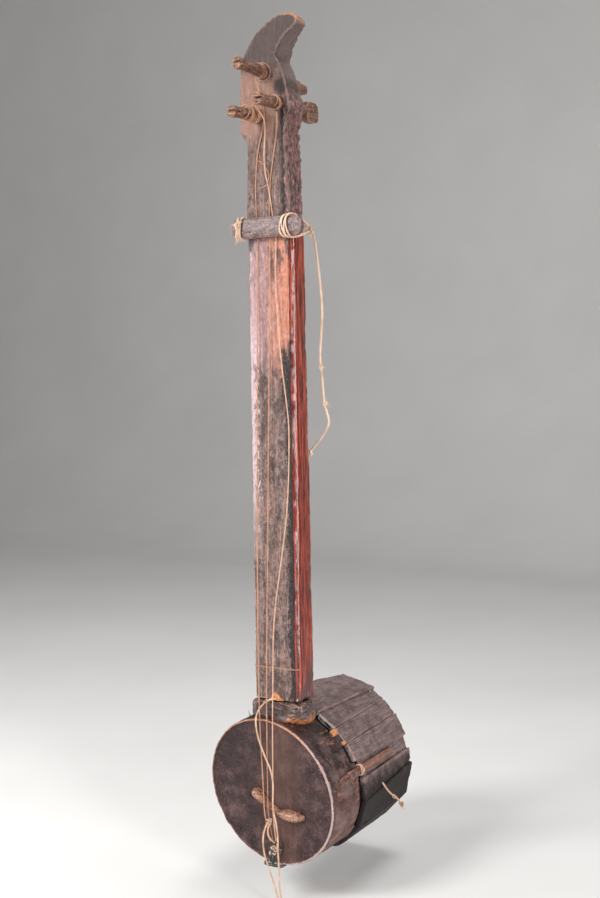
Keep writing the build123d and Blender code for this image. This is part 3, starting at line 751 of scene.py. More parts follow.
string_3_route = [
    (-0.005, -0.06, 0.2035), (0.0006, -0.055, 0.197), (0.0018, -0.0485, 0.186),
    (0.0, -0.0448, 0.171), (-0.0022, -0.0439, 0.152), (-0.0032, -0.0436, 0.133),
    (-0.0014, -0.0434, 0.113), (0.0026, -0.043, 0.097), (0.0048, -0.0423, 0.081),
    (0.0068, -0.0414, 0.064), (0.0105, -0.0414, 0.043), (0.0138, -0.0414, 0.022),
    (0.0128, -0.0415, 0.002), (0.0116, -0.0426, -0.02), (0.0128, -0.0438, -0.056),
    (0.017, -0.045, -0.098), (0.021, -0.0465, -0.15), (0.0285, -0.048, -0.2),
    (0.0345, -0.049, -0.245), (0.034, -0.05, -0.295), (0.032, -0.051, -0.345),
    (0.0275, -0.0525, -0.395), (0.02, -0.054, -0.445), (0.0115, -0.055, -0.497),
    (0.0065, -0.056, -0.545), (0.0058, -0.057, -0.6), (0.0054, -0.0595, -0.655),
    (0.0052, -0.0606, -0.7), (0.0054, -0.0616, -0.745), (0.0049, -0.0621, -0.787),
    (0.0051, -0.062, -0.82), (0.0075, -0.0595, -0.853)
]
face_cord_route = [
    (0.0025, -0.0452, -0.646), (-0.008, -0.047, -0.647), (-0.018, -0.0495, -0.656),
    (-0.025, -0.054, -0.668), (-0.0245, -0.059, -0.682), (-0.0185, -0.063, -0.7),
    (-0.012, -0.0645, -0.714), (-0.0045, -0.065, -0.73), (0.0045, -0.065, -0.747),
    (0.0086, -0.066, -0.766), (0.0085, -0.068, -0.785), (0.009, -0.0695, -0.802),
    (0.0135, -0.0685, -0.821), (0.0155, -0.0675, -0.842), (0.015, -0.067, -0.865),
    (0.016, -0.066, -0.89), (0.015, -0.065, -0.914), (0.0175, -0.0643, -0.934),
    (0.018, -0.064, -0.9445), (0.0125, -0.064, -0.9435), (0.011, -0.064, -0.9325),
    (0.006, -0.065, -0.914), (-0.002, -0.066, -0.892), (-0.0095, -0.0665, -0.87),
    (-0.011, -0.066, -0.85), (-0.0085, -0.065, -0.836), (-0.0036, -0.064, -0.8255)
]
tail_strand_route = [(0.0005, -0.064, -0.8265), (-0.0035, -0.064, -0.8345),
                     (-0.004, -0.0634, -0.844), (0.0005, -0.062, -0.8515), (0.006, -0.0602, -0.856)]
side_cord_route = [(0.1105, 0.087, -0.794), (0.113, 0.096, -0.807), (0.117, 0.108, -0.819),
                   (0.1195, 0.119, -0.826), (0.121, 0.129, -0.837)]


def free_cord(name, route, diameter, body, look, pitch=0.007):
    """A twisted cord along a route, which stands for the CAD node of the same name."""
    line = line_along(route)
    plies = twisted(line, diameter * DRAWN_THICKER, pitch, len(route))
    piece = tied(name + "_twine", plies, body, look, name)


def frayed(start, direction, count, length, thickness, seed, spread=0.5):
    """Loose fibres that fan out from a cord's end."""
    draw = np.random.default_rng(seed)
    shapes = []
    for _ in range(count):
        lean = np.array(direction) + draw.normal(0, spread, 3)
        bend = draw.normal(0, spread * 0.5, 3)
        t = np.linspace(0, 1, 7)[:, None]
        line = np.array(start) + length * draw.uniform(0.5, 1) * (t * lean + t * t * bend)
        shapes.append(tube(line, np.linspace(thickness, thickness * 0.3, 7) / 2, 5))
    return shapes


knot_shapes = [knot((0.0578, 0.006, -0.163), 0.0068, 0.0024, 0.4),
               knot((0.0636, 0.00575, -0.2155), 0.0072, 0.0024, 1.9),
               knot((0.0345, 0.0104, -0.2885), 0.008, 0.0026, 0.9),
               *frayed((0.059, 0.006, -0.164), (1, 0, 0.2), 3, 0.006, 0.0009, 1),
               *frayed((0.065, 0.006, -0.2165), (1, 0, -0.3), 4, 0.006, 0.0009, 2),
               *frayed((0.034, 0.0105, -0.2895), (-0.5, 0.1, -1), 6, 0.007, 0.001, 3),
               *frayed((0.0705, 0.005, -0.2405), (1, 0, -0.3), 3, 0.004, 0.0008, 4)]
nut_knots = tied("nut_twine_knots_tied", knot_shapes, NUT, "twine", "nut_twine_knots")
free_cord(
    "nut_twine", nut_twine_route, 0.0028, NUT, "twine",
)
free_cord("string_3", string_3_route, 0.0016, LUTE, "slack", 0.006)
free_cord("face_cord", face_cord_route, 0.0022, LUTE, "face_cord", 0.0065)
free_cord("tail_strand", tail_strand_route, 0.0022, LUTE, "face_cord")
side_shapes = [knot((0.1215, 0.131, -0.8395), 0.0078, 0.0022, 0.3),
               knot((0.118, 0.113, -0.8225), 0.006, 0.002, 1.2),
               *frayed((0.1215, 0.131, -0.84), (0.2, 0.5, -1), 8, 0.007, 0.001, 5, 0.35)]
side_knot = tied("side_cord_knots", side_shapes, LUTE, "slack", "side_cord_knot")
free_cord(
    "side_cord", side_cord_route, 0.0024, LUTE, "slack",
)

# ---- Taut strings ------------------------------------------------------------------

for name, route in (("string_1", string_1_route), ("string_2", string_2_route)):
    gut = twisted(line_along(route), GUT_WIDTH, 0.006)
    tied(name + "_gut", gut, LUTE, "gut", name, slot="gut_string")

curl_points = [
    (-0.0165, -0.0418, 0.1335), (-0.0095, -0.0426, 0.133), (-0.0055, -0.043, 0.1285),
    (0.001, -0.0436, 0.1215), (0.0055, -0.0442, 0.1105), (0.003, -0.0442, 0.1005),
    (-0.006, -0.0436, 0.0945), (-0.0145, -0.042, 0.095)
]
curl = tube(spaced(line_along(curl_points), 0.001), 0.0005, 6)
tied("loose_string_curl", [curl], LUTE, "gut", slot="gut_string")

# ---- Neck and head -----------------------------------------------------------------


def neck_shape(points, normals):
    """Wavy edges, a rounded right edge, a rough wane beside the head and hand-cut hollows."""
    x, y, z = points.T
    along = np.stack([z, z * 0, np.sign(x)], 1)
    wave = 0.0013 * noise(along, (0.055, 1, 1), 3, 4)
    side = np.abs(normals[:, 0])
    moved = points.copy()
    moved[:, 0] += wave * np.sign(x) * side
    above = step(0.04, 0.06, z)

    # Below the bar the face is slightly crowned and its right edge worn round
    below = step(0.035, 0.020, z) * step(-0.655, -0.645, z)
    depth = y + 0.040
    crown = np.where(x > 0, 0.0008, 0.0030) * np.clip(np.abs(x) / 0.037, 0, 1) ** 4
    moved[:, 1] += below * crown * step(0.012, 0.002, depth)
    worn_right = np.clip(1 - depth / 0.0074, 0, 1) * step(0.012, 0.034, x)
    moved[:, 0] -= below * (0.0064 + 0.0009 * noise(along, (0.03, 1, 1), 9, 3)) * worn_right

    # The head's right side stands out at its hook and beside the middle peg
    rear = step(-0.034, -0.012, y) * step(0.2, 0.8, normals[:, 0])
    hook = step(0.272, 0.284, z) * step(0.322, 0.300, z)
    shoulder = step(0.186, 0.200, z) * step(0.232, 0.214, z)
    flank = step(0.05, 0.14, z) * step(0.196, 0.188, z)
    moved[:, 0] += rear * (0.0060 * hook + 0.0036 * shoulder + 0.0035 * flank)

    rough = above * step(0.25, 0.215, z) * side * (x > 0)
    moved += normals * (0.0028 * rough * noise(points, (0.010, 0.010, 0.005), 5, 4))[:, None]
    groove = step(0.0045, 0.001, np.abs(x - 0.0215 + wave)) * (normals[:, 1] < -0.6)
    moved[:, 1] += 0.0022 * above * step(0.235, 0.20, z) * groove
    frayed_left = step(-0.33, -0.40, z) * side * (x < 0) * step(-0.030, -0.036, y)
    moved[:, 0] += 0.0016 * frayed_left * noise(along, (0.004, 1, 1), 8, 3)
    return moved


neck = worn(
    "neck_wood", "neck", voxel=0.0021, grain=(0.008, 0.008, 0.012), depth=0.00055, chips=0.0016,
    seed=1, relax=2, reshape=neck_shape
)
dress(neck, LUTE, "lacquered_neck", "neck", "neck")

# ---- Pegs and the string wound on them ---------------------------------------------

PEG_RADIUS, PEG_TAPER, WOUND_STRING = 0.0090, 0.0020, 0.0010
# For each peg: where its winding starts and stops, the turns of it and its loose loops
winding_spans = {"upper": (0.004, 0.016, 3, 1), "middle": (0.003, 0.01, 3, 1),
                 "lower": (0.006, 0.036, 8, 10)}
right = np.array((1.0, 0.0, 0.0))
loop_draw = np.random.default_rng(5)
for name, (start, stop, turns, loops) in winding_spans.items():
    joint = joints[name + "_peg_turn"]
    base, forward = np.array(joint["pos_m"]), np.array(joint["axis"])
    upward = np.cross(right, forward)
    reach = (base - np.array(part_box("peg_" + name)[0]))[1]

    def spread_tip(points, normals):
        """The slit tip's two prongs, splayed, with the end cut rough."""
        out = (points - base) @ forward
        rise = (points - base) @ upward
        splay = step(reach - 0.026, reach, out) * 0.0016 * np.tanh(rise / 0.0008)
        uneven = step(reach - 0.004, reach, out) * 0.0022 * noise(points, 0.007, 40, 2)
        foot = step(0.008, 0.0, out) * step(-0.002, 0.0, out) * 0.0008
        moved = points + splay[:, None] * upward + uneven[:, None] * forward
        return moved + foot[:, None] * normals

    def round_peg(out, radius, angle):
        """Points round the peg at each angle, this far out along it."""
        aside = (radius * np.cos(angle))[:, None] * right
        aside = aside + (radius * np.sin(angle))[:, None] * upward
        return base + out[:, None] * forward + aside

    peg = worn(
        "peg_" + name + "_wood", "peg_" + name, voxel=0.00075, grain=(0.005, 0.012, 0.005),
        depth=0.0007, chips=0.0008, seed=len(name), relax=1, reshape=spread_tip
    )
    dress(peg, name + "_peg", "peg_wood", "peg", "peg_" + name)
    t = np.linspace(0, 1, turns * 20)
    drift = noise(np.stack([t * turns, t * 0, t * 0], 1), 0.9, len(name) + 3, 2)
    out = start + (stop - start) * np.clip(t + 0.10 * drift, 0, 1)
    angle = 2 * math.pi * turns * t
    radius = PEG_RADIUS - PEG_TAPER * out / reach + 0.0007 + 0.0004 * np.sin(9 * t) + 0.0003 * drift
    shapes = [tube(round_peg(out, radius, angle), WOUND_STRING * 0.45, 6)]
    for _ in range(loops):
        lean = loop_draw.uniform(1.6, 4.4)
        swing = np.linspace(0, loop_draw.uniform(1.1, 1.9) * math.pi, 44)
        bow = np.sin(swing / swing[-1] * math.pi)
        wide = 0.0097 - 0.0015 * start / reach + loop_draw.uniform(0.0005, 0.0075) * bow
        far = loop_draw.uniform(start, stop) + loop_draw.uniform(-0.012, 0.016) * swing / swing[-1]
        loose = round_peg(np.clip(far, 0.002, reach - 0.008), wide, swing + lean)
        shapes.append(tube(loose, WOUND_STRING / 2, 6))
    winding = "winding_" + name
    tied(winding + "_string", shapes, name + "_peg", "wound", winding, slot="gut_string")

# ---- Nut bar and its lashings ------------------------------------------------------


def bar_shape(points, normals):
    """The bar's front is crowned, and its back is clear of the strings."""
    y, z = points.T[1:]
    moved = points.copy()
    off = np.clip(np.abs(z - 0.0375) / 0.0145, 0, 1)
    moved[:, 1] += 0.0022 * off**3 * step(-0.049, -0.054, y)
    moved[:, 1] -= 0.0012 * step(-0.046, -0.043, y)
    return moved


bar = worn(
    "nut_bar_wood", "nut_bar", voxel=0.0011, grain=(0.014, 0.008, 0.006), depth=0.0009,
    chips=0.0012, seed=9, relax=4, reshape=bar_shape
)
dress(bar, NUT, "bar_wood", "bar", "nut_bar")

bar_low, bar_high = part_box("nut_bar")
bar_middle = (bar_low.z + bar_high.z) / 2
wrap_height = (bar_high.z - bar_low.z) / 2 + TWINE_WIDTH / 2 - 0.0004
wrap_front = bar_low.y - TWINE_WIDTH / 2 + 0.0006
wrap_back = bar_high.y + 0.0006


def rounded_loop(corners, gap=0.0008):
    """A smooth closed line through the middles between corners."""
    smooth = np.array(corners)
    for _ in range(4):
        after = np.roll(smooth, -1, axis=0)
        pairs = [0.75 * smooth + 0.25 * after, 0.25 * smooth + 0.75 * after]
        smooth = np.stack(pairs, 1).reshape(-1, 3)
    return spaced(np.concatenate([smooth, smooth[:2]]), gap)


# Each turn on the left: its x, its lean and how far it stands off the bar
left_turns = ((-0.0436, -0.0022, 0.0), (-0.0418, 0.0004, 0.0009), (-0.0396, 0.0022, 0.0),
              (-0.0376, -0.0012, 0.0012))
left_shapes = []
for number, (x, lean, swell) in enumerate(left_turns):
    top, low = bar_middle + wrap_height + swell, bar_middle - wrap_height - swell
    ring = [(x - lean, wrap_front, top), (x - lean * 0.3, wrap_front - 0.001 - swell, bar_middle),
            (x + lean, wrap_front, low), (x + lean, wrap_back, low),
            (x, wrap_back + 0.001, bar_middle), (x - lean, wrap_back, top)]
    left_shapes += twisted(rounded_loop(ring), 0.0026, seed=number)
front = np.array((0.0, wrap_front, bar_middle))
left_shapes += twisted(knot_line(front + (-0.0412, -0.0022, 0.0035), 0.0105, 0.3), 0.0026)
left_shapes += twisted(knot_line(front + (-0.0395, -0.0016, 0.0095), 0.0080, 1.3), 0.0024)
left_shapes += frayed(front + (-0.0420, -0.001, -0.014), (0.1, -0.3, -1), 5, 0.007, 0.0009, 7)
tied("nut_lashing_left_twine", left_shapes, NUT, "twine", "nut_lashing_left")

# Each turn on the right: its x and how it bows
right_turns = ((0.0292, 0.0010), (0.0325, -0.0012), (0.0362, 0.0006), (0.0392, -0.0014))
right_shapes = []
tie_place = np.array((0.0425, 0.0030, bar_middle - 0.0005))
for number, (x, bow) in enumerate(right_turns):
    swell = 0.0004 * number
    top, low = bar_middle + wrap_height + swell, bar_middle - wrap_height - swell
    tie = tie_place + (0.0006 * number, 0.0, 0.0)
    loop = [
        (x + 0.0035 + bow, wrap_front, top),
        (x - 0.001 + bow, wrap_front - 0.001, bar_middle + 0.006),
        (x - 0.001 - bow, wrap_front - 0.001, bar_middle - 0.006),
        (x + 0.0035 - bow, wrap_front, low), (x + 0.0075, wrap_back, low),
        tie + (0.0, 0.0, -0.0035), tie + (0.0, 0.0025, 0.0), tie + (0.0, 0.0, 0.0035),
        (x + 0.0075, wrap_back, top)
    ]
    right_shapes += twisted(rounded_loop(loop), 0.0024, seed=number + 5)
right_shapes += twisted(knot_line(tie_place + (0.001, 0.0, -0.001), 0.0125, 0.8), 0.0026, seed=3)
right_shapes += twisted(knot_line(tie_place + (0.002, -0.001, -0.006), 0.0090, 2.1), 0.0024, seed=4)
right_shapes += frayed(tie_place + (0.002, 0.0, 0.001), (1, -0.2, 0.4), 4, 0.006, 0.0009, 8)
tied("nut_lashing_right_twine", right_shapes, NUT, "twine", "nut_lashing_right")

back_route = [
    (-0.0402, -0.0385, 0.037), (-0.0402, -0.026, 0.037), (-0.0402, -0.011, 0.037),
    (-0.0395, -0.001, 0.037), (-0.03, 0.0022, 0.0375), (-0.012, 0.0022, 0.0386),
    (0.01, 0.0022, 0.04), (0.03, 0.0022, 0.0413), (0.0425, 0.003, 0.042)
]
back_plies = twisted(line_along(back_route), TWINE_WIDTH)
tied("nut_back_cord_twine", back_plies, NUT, "twine", "nut_back_cord")

# ---- Drum: hide over the face and the rim ------------------------------------------

drum_low, drum_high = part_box("skin_head")
drum_x, drum_z = (drum_low.x + drum_high.x) / 2, (drum_low.z + drum_high.z) / 2
face_y = drum_low.y
drum_long, drum_short, drum_turn = 0.1108, 0.0955, math.radians(-51.2)
HIDE_THICK, FACE_HOLLOW = 0.0016, 0.0017
# The joints between boards, in degrees, and how far back the hide reaches in front of each board
board_joints = (
    70, 52, 36, 20, 5, -14, -36, -60, -84, -109, -134, -159, -184, -209, -234, -258, -290
)
board_starts = (
    0.027, 0.0275, 0.03, 0.042, 0.038, 0.04, 0.045, 0.044, 0.042, 0.045, 0.04, 0.044, 0.039, 0.042,
    0.036, 0.028
)
hide_reach = (
    0.018, 0.0275, 0.02, 0.0345, 0.028, 0.031, 0.0425, 0.039, 0.034, 0.043, 0.036, 0.041, 0.033,
    0.04, 0.034, 0.027
)


def drum_reach(polar):
    """How far the drum's outline is from its middle in a direction."""
    turn = polar - drum_turn
    return 1 / np.hypot(np.cos(turn) / drum_long, np.sin(turn) / drum_short)


def past_joints(degrees):
    """The same direction, at or below the first joint between boards."""
    return np.where(degrees > board_joints[0], degrees - 360, degrees)


def sleeve_end(polar):
    """Where the hide's torn rear edge lies along Y: short before some boards."""
    tatters = np.stack([np.cos(polar), np.sin(polar), polar * 0], 1)
    degrees = past_joints(np.degrees(polar) + 1.2 * noise(tatters, 0.04, 6, 3))
    places, values = [], []
    for number, value in enumerate(hide_reach):
        places += [board_joints[number] - 0.7, board_joints[number + 1] + 0.7]
        values += [value, value]
    order = np.argsort(places)
    end = np.interp(degrees, np.array(places)[order], np.array(values)[order])
    return end + 0.0011 * noise(tatters, 0.04, 4, 4) - 0.0008


def board_front(polar):
    """Where the boards start along Y, in each direction."""
    board = np.searchsorted(-np.array(board_joints), -past_joints(np.degrees(polar))) - 1
    return np.array(board_starts)[np.maximum(board, 0)]


angles = 640
polar = np.arange(angles) * 2 * math.pi / angles
reach = drum_reach(polar)
edge_y = sleeve_end(polar)
whole = step(0.003, 0.001, board_front(polar) - edge_y)
around = np.stack([np.cos(polar), np.sin(polar)], 1)


def drum_ring(out, y):
    """A ring of points this far out from the drum's middle."""
    ring = (drum_x + around[:, 0] * out, np.broadcast_to(y, angles), drum_z + around[:, 1] * out)
    return np.stack(ring, 1)


# Along the hide from the face's middle to its rim: share of the reach, y and how rubbed it is
shares = np.linspace(0.02, 0.955, 44)
profile = [(share, face_y + FACE_HOLLOW * (1 - share**4), 0.0) for share in shares]
profile += [(0.974, face_y - 0.0001, 0.1), (0.986, face_y - 0.001, 0.45),
            (0.994, face_y - 0.0018, 1.0), (1.002, face_y - 0.0014, 1.0),
            (1.01, face_y + 0.0002, 0.75), (1.012, face_y + 0.0026, 0.25)]
rings, wears = [], []
for share, y, wear in profile:
    place = drum_ring(reach * share, y)
    gentle = step(0.0, 0.3, share) * 0.00055 * noise(place, (0.010, 0.03, 0.050), 21, 3)
    ripple = 0.0010 * noise(place, 0.009, 22, 4) * step(0.955, 0.99, share)
    place[:, 1] += gentle - ripple
    place[:, 0] += ripple * around[:, 0]
    place[:, 2] += ripple * around[:, 1]
    rings.append(place)
    wears.append(np.full(angles, wear))
# Down the outside of the sleeve
for t in np.linspace(0.05, 1, 44):
    y = face_y + 0.0024 + (edge_y - face_y - 0.0024) * t
    bulge = 0.0008 + 0.0012 * np.sin(t * math.pi) * (1 - t)
    slant = polar + 0.5 * t
    slanted = np.stack([np.cos(slant), np.sin(slant), np.full(angles, t * 0.5)], 1)
    fold = 0.0013 * noise(slanted, 0.085, 23, 4)
    lift = 0.0010 * step(0.80, 1.0, t) * (0.5 + noise(around @ np.eye(2, 3), 0.12, 24, 3))
    behind = (0.0050 * whole + 0.0010) * step(0.30, 1.0, t)
    rings.append(drum_ring(reach + bulge + fold * step(0.0, 0.3, t) + lift + behind, y))
    wears.append(np.full(angles, 0.35 * step(0.95, 1.0, t)))
outer_end = rings[-1]
# Back up its inside and over the inside of the face
for t in (1.0, 0.9, 0.5, 0.04):
    y = face_y + 0.0018 + (edge_y - face_y - 0.0018) * t
    inner = reach - HIDE_THICK
    if t == 1.0:
        inner = np.hypot(outer_end[:, 0] - drum_x, outer_end[:, 2] - drum_z) - 0.0011
    rings.append(drum_ring(inner, y))
    wears.append(np.full(angles, 0.3 * (t == 1.0)))
for share in (0.93, 0.6, 0.3, 0.02):
    rings.append(drum_ring(reach * share, face_y + HIDE_THICK + FACE_HOLLOW * (1 - share**4)))
    wears.append(np.zeros(angles))
hide = mesh_piece("drum_hide", [skin_of(np.array(rings))])
set_values(hide.data, "wear", np.concatenate([*wears, [0, 0]]))
dress(hide, LUTE, "hide", "hide", "skin_head", "skin_sleeve")

# Slivers of torn hide that stand up beside the saddle
sliver_draw = np.random.default_rng(29)
slivers = []
for _ in range(7):
    foot = np.array((sliver_draw.uniform(-0.06, -0.046), sliver_draw.uniform(-0.02, 0.004), -0.697))
    lean = np.array((sliver_draw.uniform(-0.5, 0.5), sliver_draw.uniform(-0.3, 0.3), 1.0))
    t = np.linspace(0, 1, 6)[:, None]
    tall = sliver_draw.uniform(0.010, 0.019)
    line = foot + tall * (t * lean + t * t * sliver_draw.normal(0, 0.25, 3))
    slivers.append(tube(line, np.linspace(0.0013, 0.0003, 6), 6, 0.4))
tied("hide_slivers", slivers, LUTE, "hide", slot="hide")

# ---- Drum: shell, staves and what is wedged or tied between them ---------------------

shell = worn("drum_shell_wood", "drum_shell", voxel=0.0026, grain=(0.02, 0.03, 0.02),
             depth=0.0006, chips=0.0008, seed=12, relax=1)
dress(shell, LUTE, "shell_wood", "shell", "drum_shell")


def out_of_drum(points):
    """The direction from the drum's axis to each point."""
    away = points - (drum_x, 0, drum_z)
    away[:, 1] = 0
    return away / np.linalg.norm(away, axis=1)[:, None]


def close_joints(points, normals):
    """Boards a little wider, so that their joints are thin."""
    outward = out_of_drum(points)
    radial = (normals * outward).sum(1)[:, None] * outward
    beside = normals - radial
    beside[:, 1] = 0
    return points + 0.0006 * beside


for number in range(1, 17):
    node = f"stave_{number:02}"
    stave = worn(
        node + "_board", node, voxel=0.0014, grain=(0.016, 0.05, 0.016), depth=0.0008, chips=0.0014,
        seed=13 + number, relax=1, reshape=close_joints
    )
    dress(stave, LUTE, "stave_wood", "stave", node)


def saddle_shape(points, normals):
    """A waisted block: hollow in front, a knob at its left end and thin at its right."""
    x, y, z = points.T
    middle = np.array((0.0025, -0.0185, -0.668))
    share = np.abs(points - middle) / (0.0435, 0.0275, 0.0200)
    rounder = share.max(1) / np.maximum((share**5).sum(1) ** 0.2, 1e-6)
    moved = middle + (points - middle) * rounder[:, None]
    front = step(-0.020, -0.046, y)
    hollow = step(-0.03, -0.018,
                  x) * step(0.04, 0.01, x) * step(-0.69, -0.668, z) * step(-0.648, -0.66, z)
    moved[:, 1] += 0.0050 * front * hollow
    taper = step(0.005, 0.046, x) * front
    moved[:, 2] += 0.0110 * taper * step(-0.655, -0.688, z)
    moved[:, 2] -= 0.0030 * taper * step(-0.665, -0.650, z)
    knob = step(-0.024, -0.034, x) * front
    moved += 0.0022 * knob[:, None] * normals
    moved[:, 2] += 0.0050 * knob * step(-0.672, -0.688, z)
    return moved


slat_polar = math.radians(12.5)
outward = np.array((math.cos(slat_polar), 0, math.sin(slat_polar)))
sideways = np.array((-math.sin(slat_polar), 0, math.cos(slat_polar)))
tie_middle = middle_and_half("tab_binding")[0]


def roll(name, start, stop, sections, grain, seed):
    """A rolled strip on the drum's side. Its sections give half width, half height, rise and
    shift sideways."""
    t = np.linspace(0, 1, 110)
    shares = np.linspace(0, 1, len(sections))
    wide, high, rise, shift = (np.interp(t, shares, column)[:, None] for column in zip(*sections))
    centre = (drum_x, 0, drum_z) + (drum_reach(slat_polar) + rise) * outward + shift * sideways
    centre[:, 1] = start + (stop - start) * t
    turn = np.arange(30) * 2 * math.pi / 30
    out = wide[
        :, :, None
    ] * np.cos(turn)[:, None] * sideways + high[:, :, None] * np.sin(turn)[:, None] * outward
    rings = centre[:, None] + out
    lumps = noise(rings.reshape(-1, 3), grain, seed).reshape(len(t), -1, 1)
    rings = rings + 0.0009 * lumps * out / np.linalg.norm(out, axis=2)[:, :, None]
    return mesh_piece(name, [skin_of(rings)])


tab_sections = ((0.0045, 0.0009, 0.001, -0.005), (0.0078, 0.0034, 0.0028, -0.004),
                (0.008, 0.0044, 0.0042, -0.0025), (0.007, 0.0048, 0.0048, -0.001),
                (0.0058, 0.0042, 0.005, 0.0))
slat_sections = ((0.0054, 0.0034, 0.0056, 0.0), (0.0062, 0.0034, 0.0064, 0.0),
                 (0.006, 0.003, 0.0068, 0.0), (0.0054, 0.0024, 0.0068, 0.0))
tab = roll("hide_tab_roll", -0.025, tie_middle[1] + 0.001, tab_sections, (0.005, 0.016, 0.005), 3)
dress(tab, LUTE, "hide", "tab", "hide_tab")
slat = roll("bamboo_slat_half", tie_middle[1] - 0.002, 0.143, slat_sections, (0.004, 0.04, 0.004),
            4)
dress(slat, LUTE, "bamboo", "bamboo", "bamboo_slat")


def chip_shape(points, normals):
    """The raw chip at the neck's foot, split off larger and thicker."""
    foot = np.array((0.0025, -0.040, -0.6488))
    return foot + (points - foot) * (1.12, 1.3, 1.55)


def wedge_shape(points, normals):
    """The wedges stand a little proud of the hide and the boards."""
    return points + 0.0045 * out_of_drum(points) + 0.0008 * normals


# Node, look, slot, voxel size in millimetres, grain, depth of wear, relaxing and shape
small_woods = (
    ("neck_saddle", "saddle", "saddle_wood", 1.3, (0.014, 0.010, 0.007), 0.0016, 10, saddle_shape),
    ("foot_wedge", "raw", "wedge_wood", 0.5, (0.003, 0.003, 0.003), 0.0008, 2, chip_shape),
    ("stave_wedges", "raw", "wedge_wood", 0.6, (0.003, 0.008, 0.003), 0.0014, 2, wedge_shape),
)
for node, look, slot, voxel_mm, grain, depth, relax, shape in small_woods:
    chips = depth * 0.8
    made = worn(node + "_worn", node, voxel_mm / 1000, grain, depth, chips, len(node), relax, shape)
    dress(made, LUTE, slot, look, node)

# ---- Bindings ----------------------------------------------------------------------


def rounded_box(centre, first, second, corner, gap=0.0008):
    """A closed line round a box with cut corners. first and second reach to its sides."""
    places = (
        (1, corner), (corner, 1), (-corner, 1), (-1, corner), (-1, -corner), (-corner, -1),
        (corner, -1), (1, -corner)
    )
    return rounded_loop([centre + first * a + second * b for a, b in places], gap)


tie_shapes = []
for number, shift in enumerate((-0.0022, 0.0, 0.0020)):
    middle = tie_middle + (0, shift, 0)
    loop = rounded_box(middle, outward * 0.0052, sideways * 0.0075, 0.6, 0.0006)
    tie_shapes += twisted(loop, 0.0019, pitch=0.005, seed=number)
tie_shapes += twisted(knot_line(tie_middle + outward * 0.0055, 0.0075, 1.2), 0.0018, pitch=0.005)
tie_shapes += frayed(tie_middle + outward * 0.006, (0.4, 0.5, -0.6), 4, 0.007, 0.0008, 9)
tied("tab_binding_twine", tie_shapes, LUTE, "slack", "tab_binding")

along_x, along_y = np.array((1.0, 0.0, 0.0)), np.array((0.0, 1.0, 0.0))
middle, half = middle_and_half("neck_thread")
thread_shapes = []
for rise in (-0.0005, 0.0007):
    loop = rounded_box(middle + (-0.001, 0, rise), along_x * (half[0] - 0.0016),
                       along_y * (half[1] - 0.0006), 0.84, 0.001)
    thread_shapes += twisted(loop, 0.0008, pitch=0.003, seed=4)
tied("neck_thread_twine", thread_shapes, LUTE, "gut", "neck_thread")

middle, half = middle_and_half("tail_binding")
half = half - 0.0014
binding_shapes = []
for number, rise in enumerate((-0.0016, 0.0012)):
    loop = rounded_box(middle + (0, 0, rise), along_x * half[0], along_y * half[1], 0.85)
    binding_shapes += twisted(loop, 0.0026, seed=number)
tied("tail_binding_twine", binding_shapes, LUTE, "charred", "tail_binding")

# ---- Bridge ------------------------------------------------------------------------

# Along the bridge: x, z, half width and height of its section
bridge_sections = [
    (-0.0345, -0.7848, 0.0015, 0.004), (-0.032, -0.7855, 0.0058, 0.01),
    (-0.026, -0.788, 0.0076, 0.0125), (-0.019, -0.7925, 0.0072, 0.012),
    (-0.013, -0.7975, 0.006, 0.0095), (-0.008, -0.802, 0.0048, 0.0078),
    (-0.002, -0.8065, 0.0042, 0.0072), (0.005, -0.81, 0.0042, 0.0072),
    (0.011, -0.8118, 0.005, 0.0085), (0.018, -0.8128, 0.0068, 0.0112),
    (0.027, -0.8135, 0.0082, 0.013), (0.036, -0.814, 0.0084, 0.0128),
    (0.044, -0.814, 0.0068, 0.0105), (0.05, -0.8137, 0.004, 0.007), (0.0525, -0.8135, 0.0012, 0.003)
]
bridge_bottom = face_y + 0.0012


def bridge_rings():
    """Rings across the bridge: flat below, round above."""
    line = np.array([(x, 0, z) for x, z, _, _ in bridge_sections])
    fine = np.linspace(0, len(line) - 1, 90)
    at = np.arange(len(line))
    columns = [np.interp(fine, at, [section[k] for section in bridge_sections]) for k in range(4)]
    x, z, half_width, height = (np.convolve(np.pad(c, 3, "edge"), np.ones(7) / 7,
                                            "valid") for c in columns)
    centre = np.stack([x, np.zeros(len(x)), z], 1)
    forward = np.gradient(centre, axis=0)
    forward /= np.linalg.norm(forward, axis=1)[:, None]
    side = np.cross(forward, (0, 1, 0))
    rings = []
    for turn in np.linspace(0, 2 * math.pi, 28, endpoint=False):
        c, s = math.cos(turn), math.sin(turn)
        out = np.sign(c) * abs(c) ** 0.8 * half_width
        up = np.where(s > 0, abs(s) ** 0.75 * height, 0.0) + 0.0
        rings.append(centre + side * out[:, None] + np.array((0, -1, 0)) * up[:, None])
    rings = np.stack(rings, 1)
    rings[:, :, 1] += bridge_bottom
    return rings


bridge = mesh_piece("bridge_wood", [skin_of(bridge_rings())])
points, normals = coordinates(bridge.data)
facets = 0.0009 * noise(points, 0.007, 31, 3)
bridge.data.vertices.foreach_set("co", (points + normals * facets[:, None]).ravel())
ridge = np.clip((bridge_bottom - points[:, 1]) / 0.012, 0, 1) * 0.6
set_values(bridge.data, "edge", ridge)
dress(bridge, "bridge", "bridge_wood", "bridge", "bridge")

# ---- Tail: a bundle of knots -------------------------------------------------------

hitch_place = np.array((-0.0005, -0.0635, -0.8235))
hitch_shapes = twisted(knot_line(hitch_place, 0.0095, 0.2), 0.0022)
hitch_shapes += frayed(hitch_place, (0.6, -0.3, 0.4), 3, 0.006, 0.0008, 10)
tied("string_hitch_knot", hitch_shapes, LUTE, "face_cord", "string_hitch")

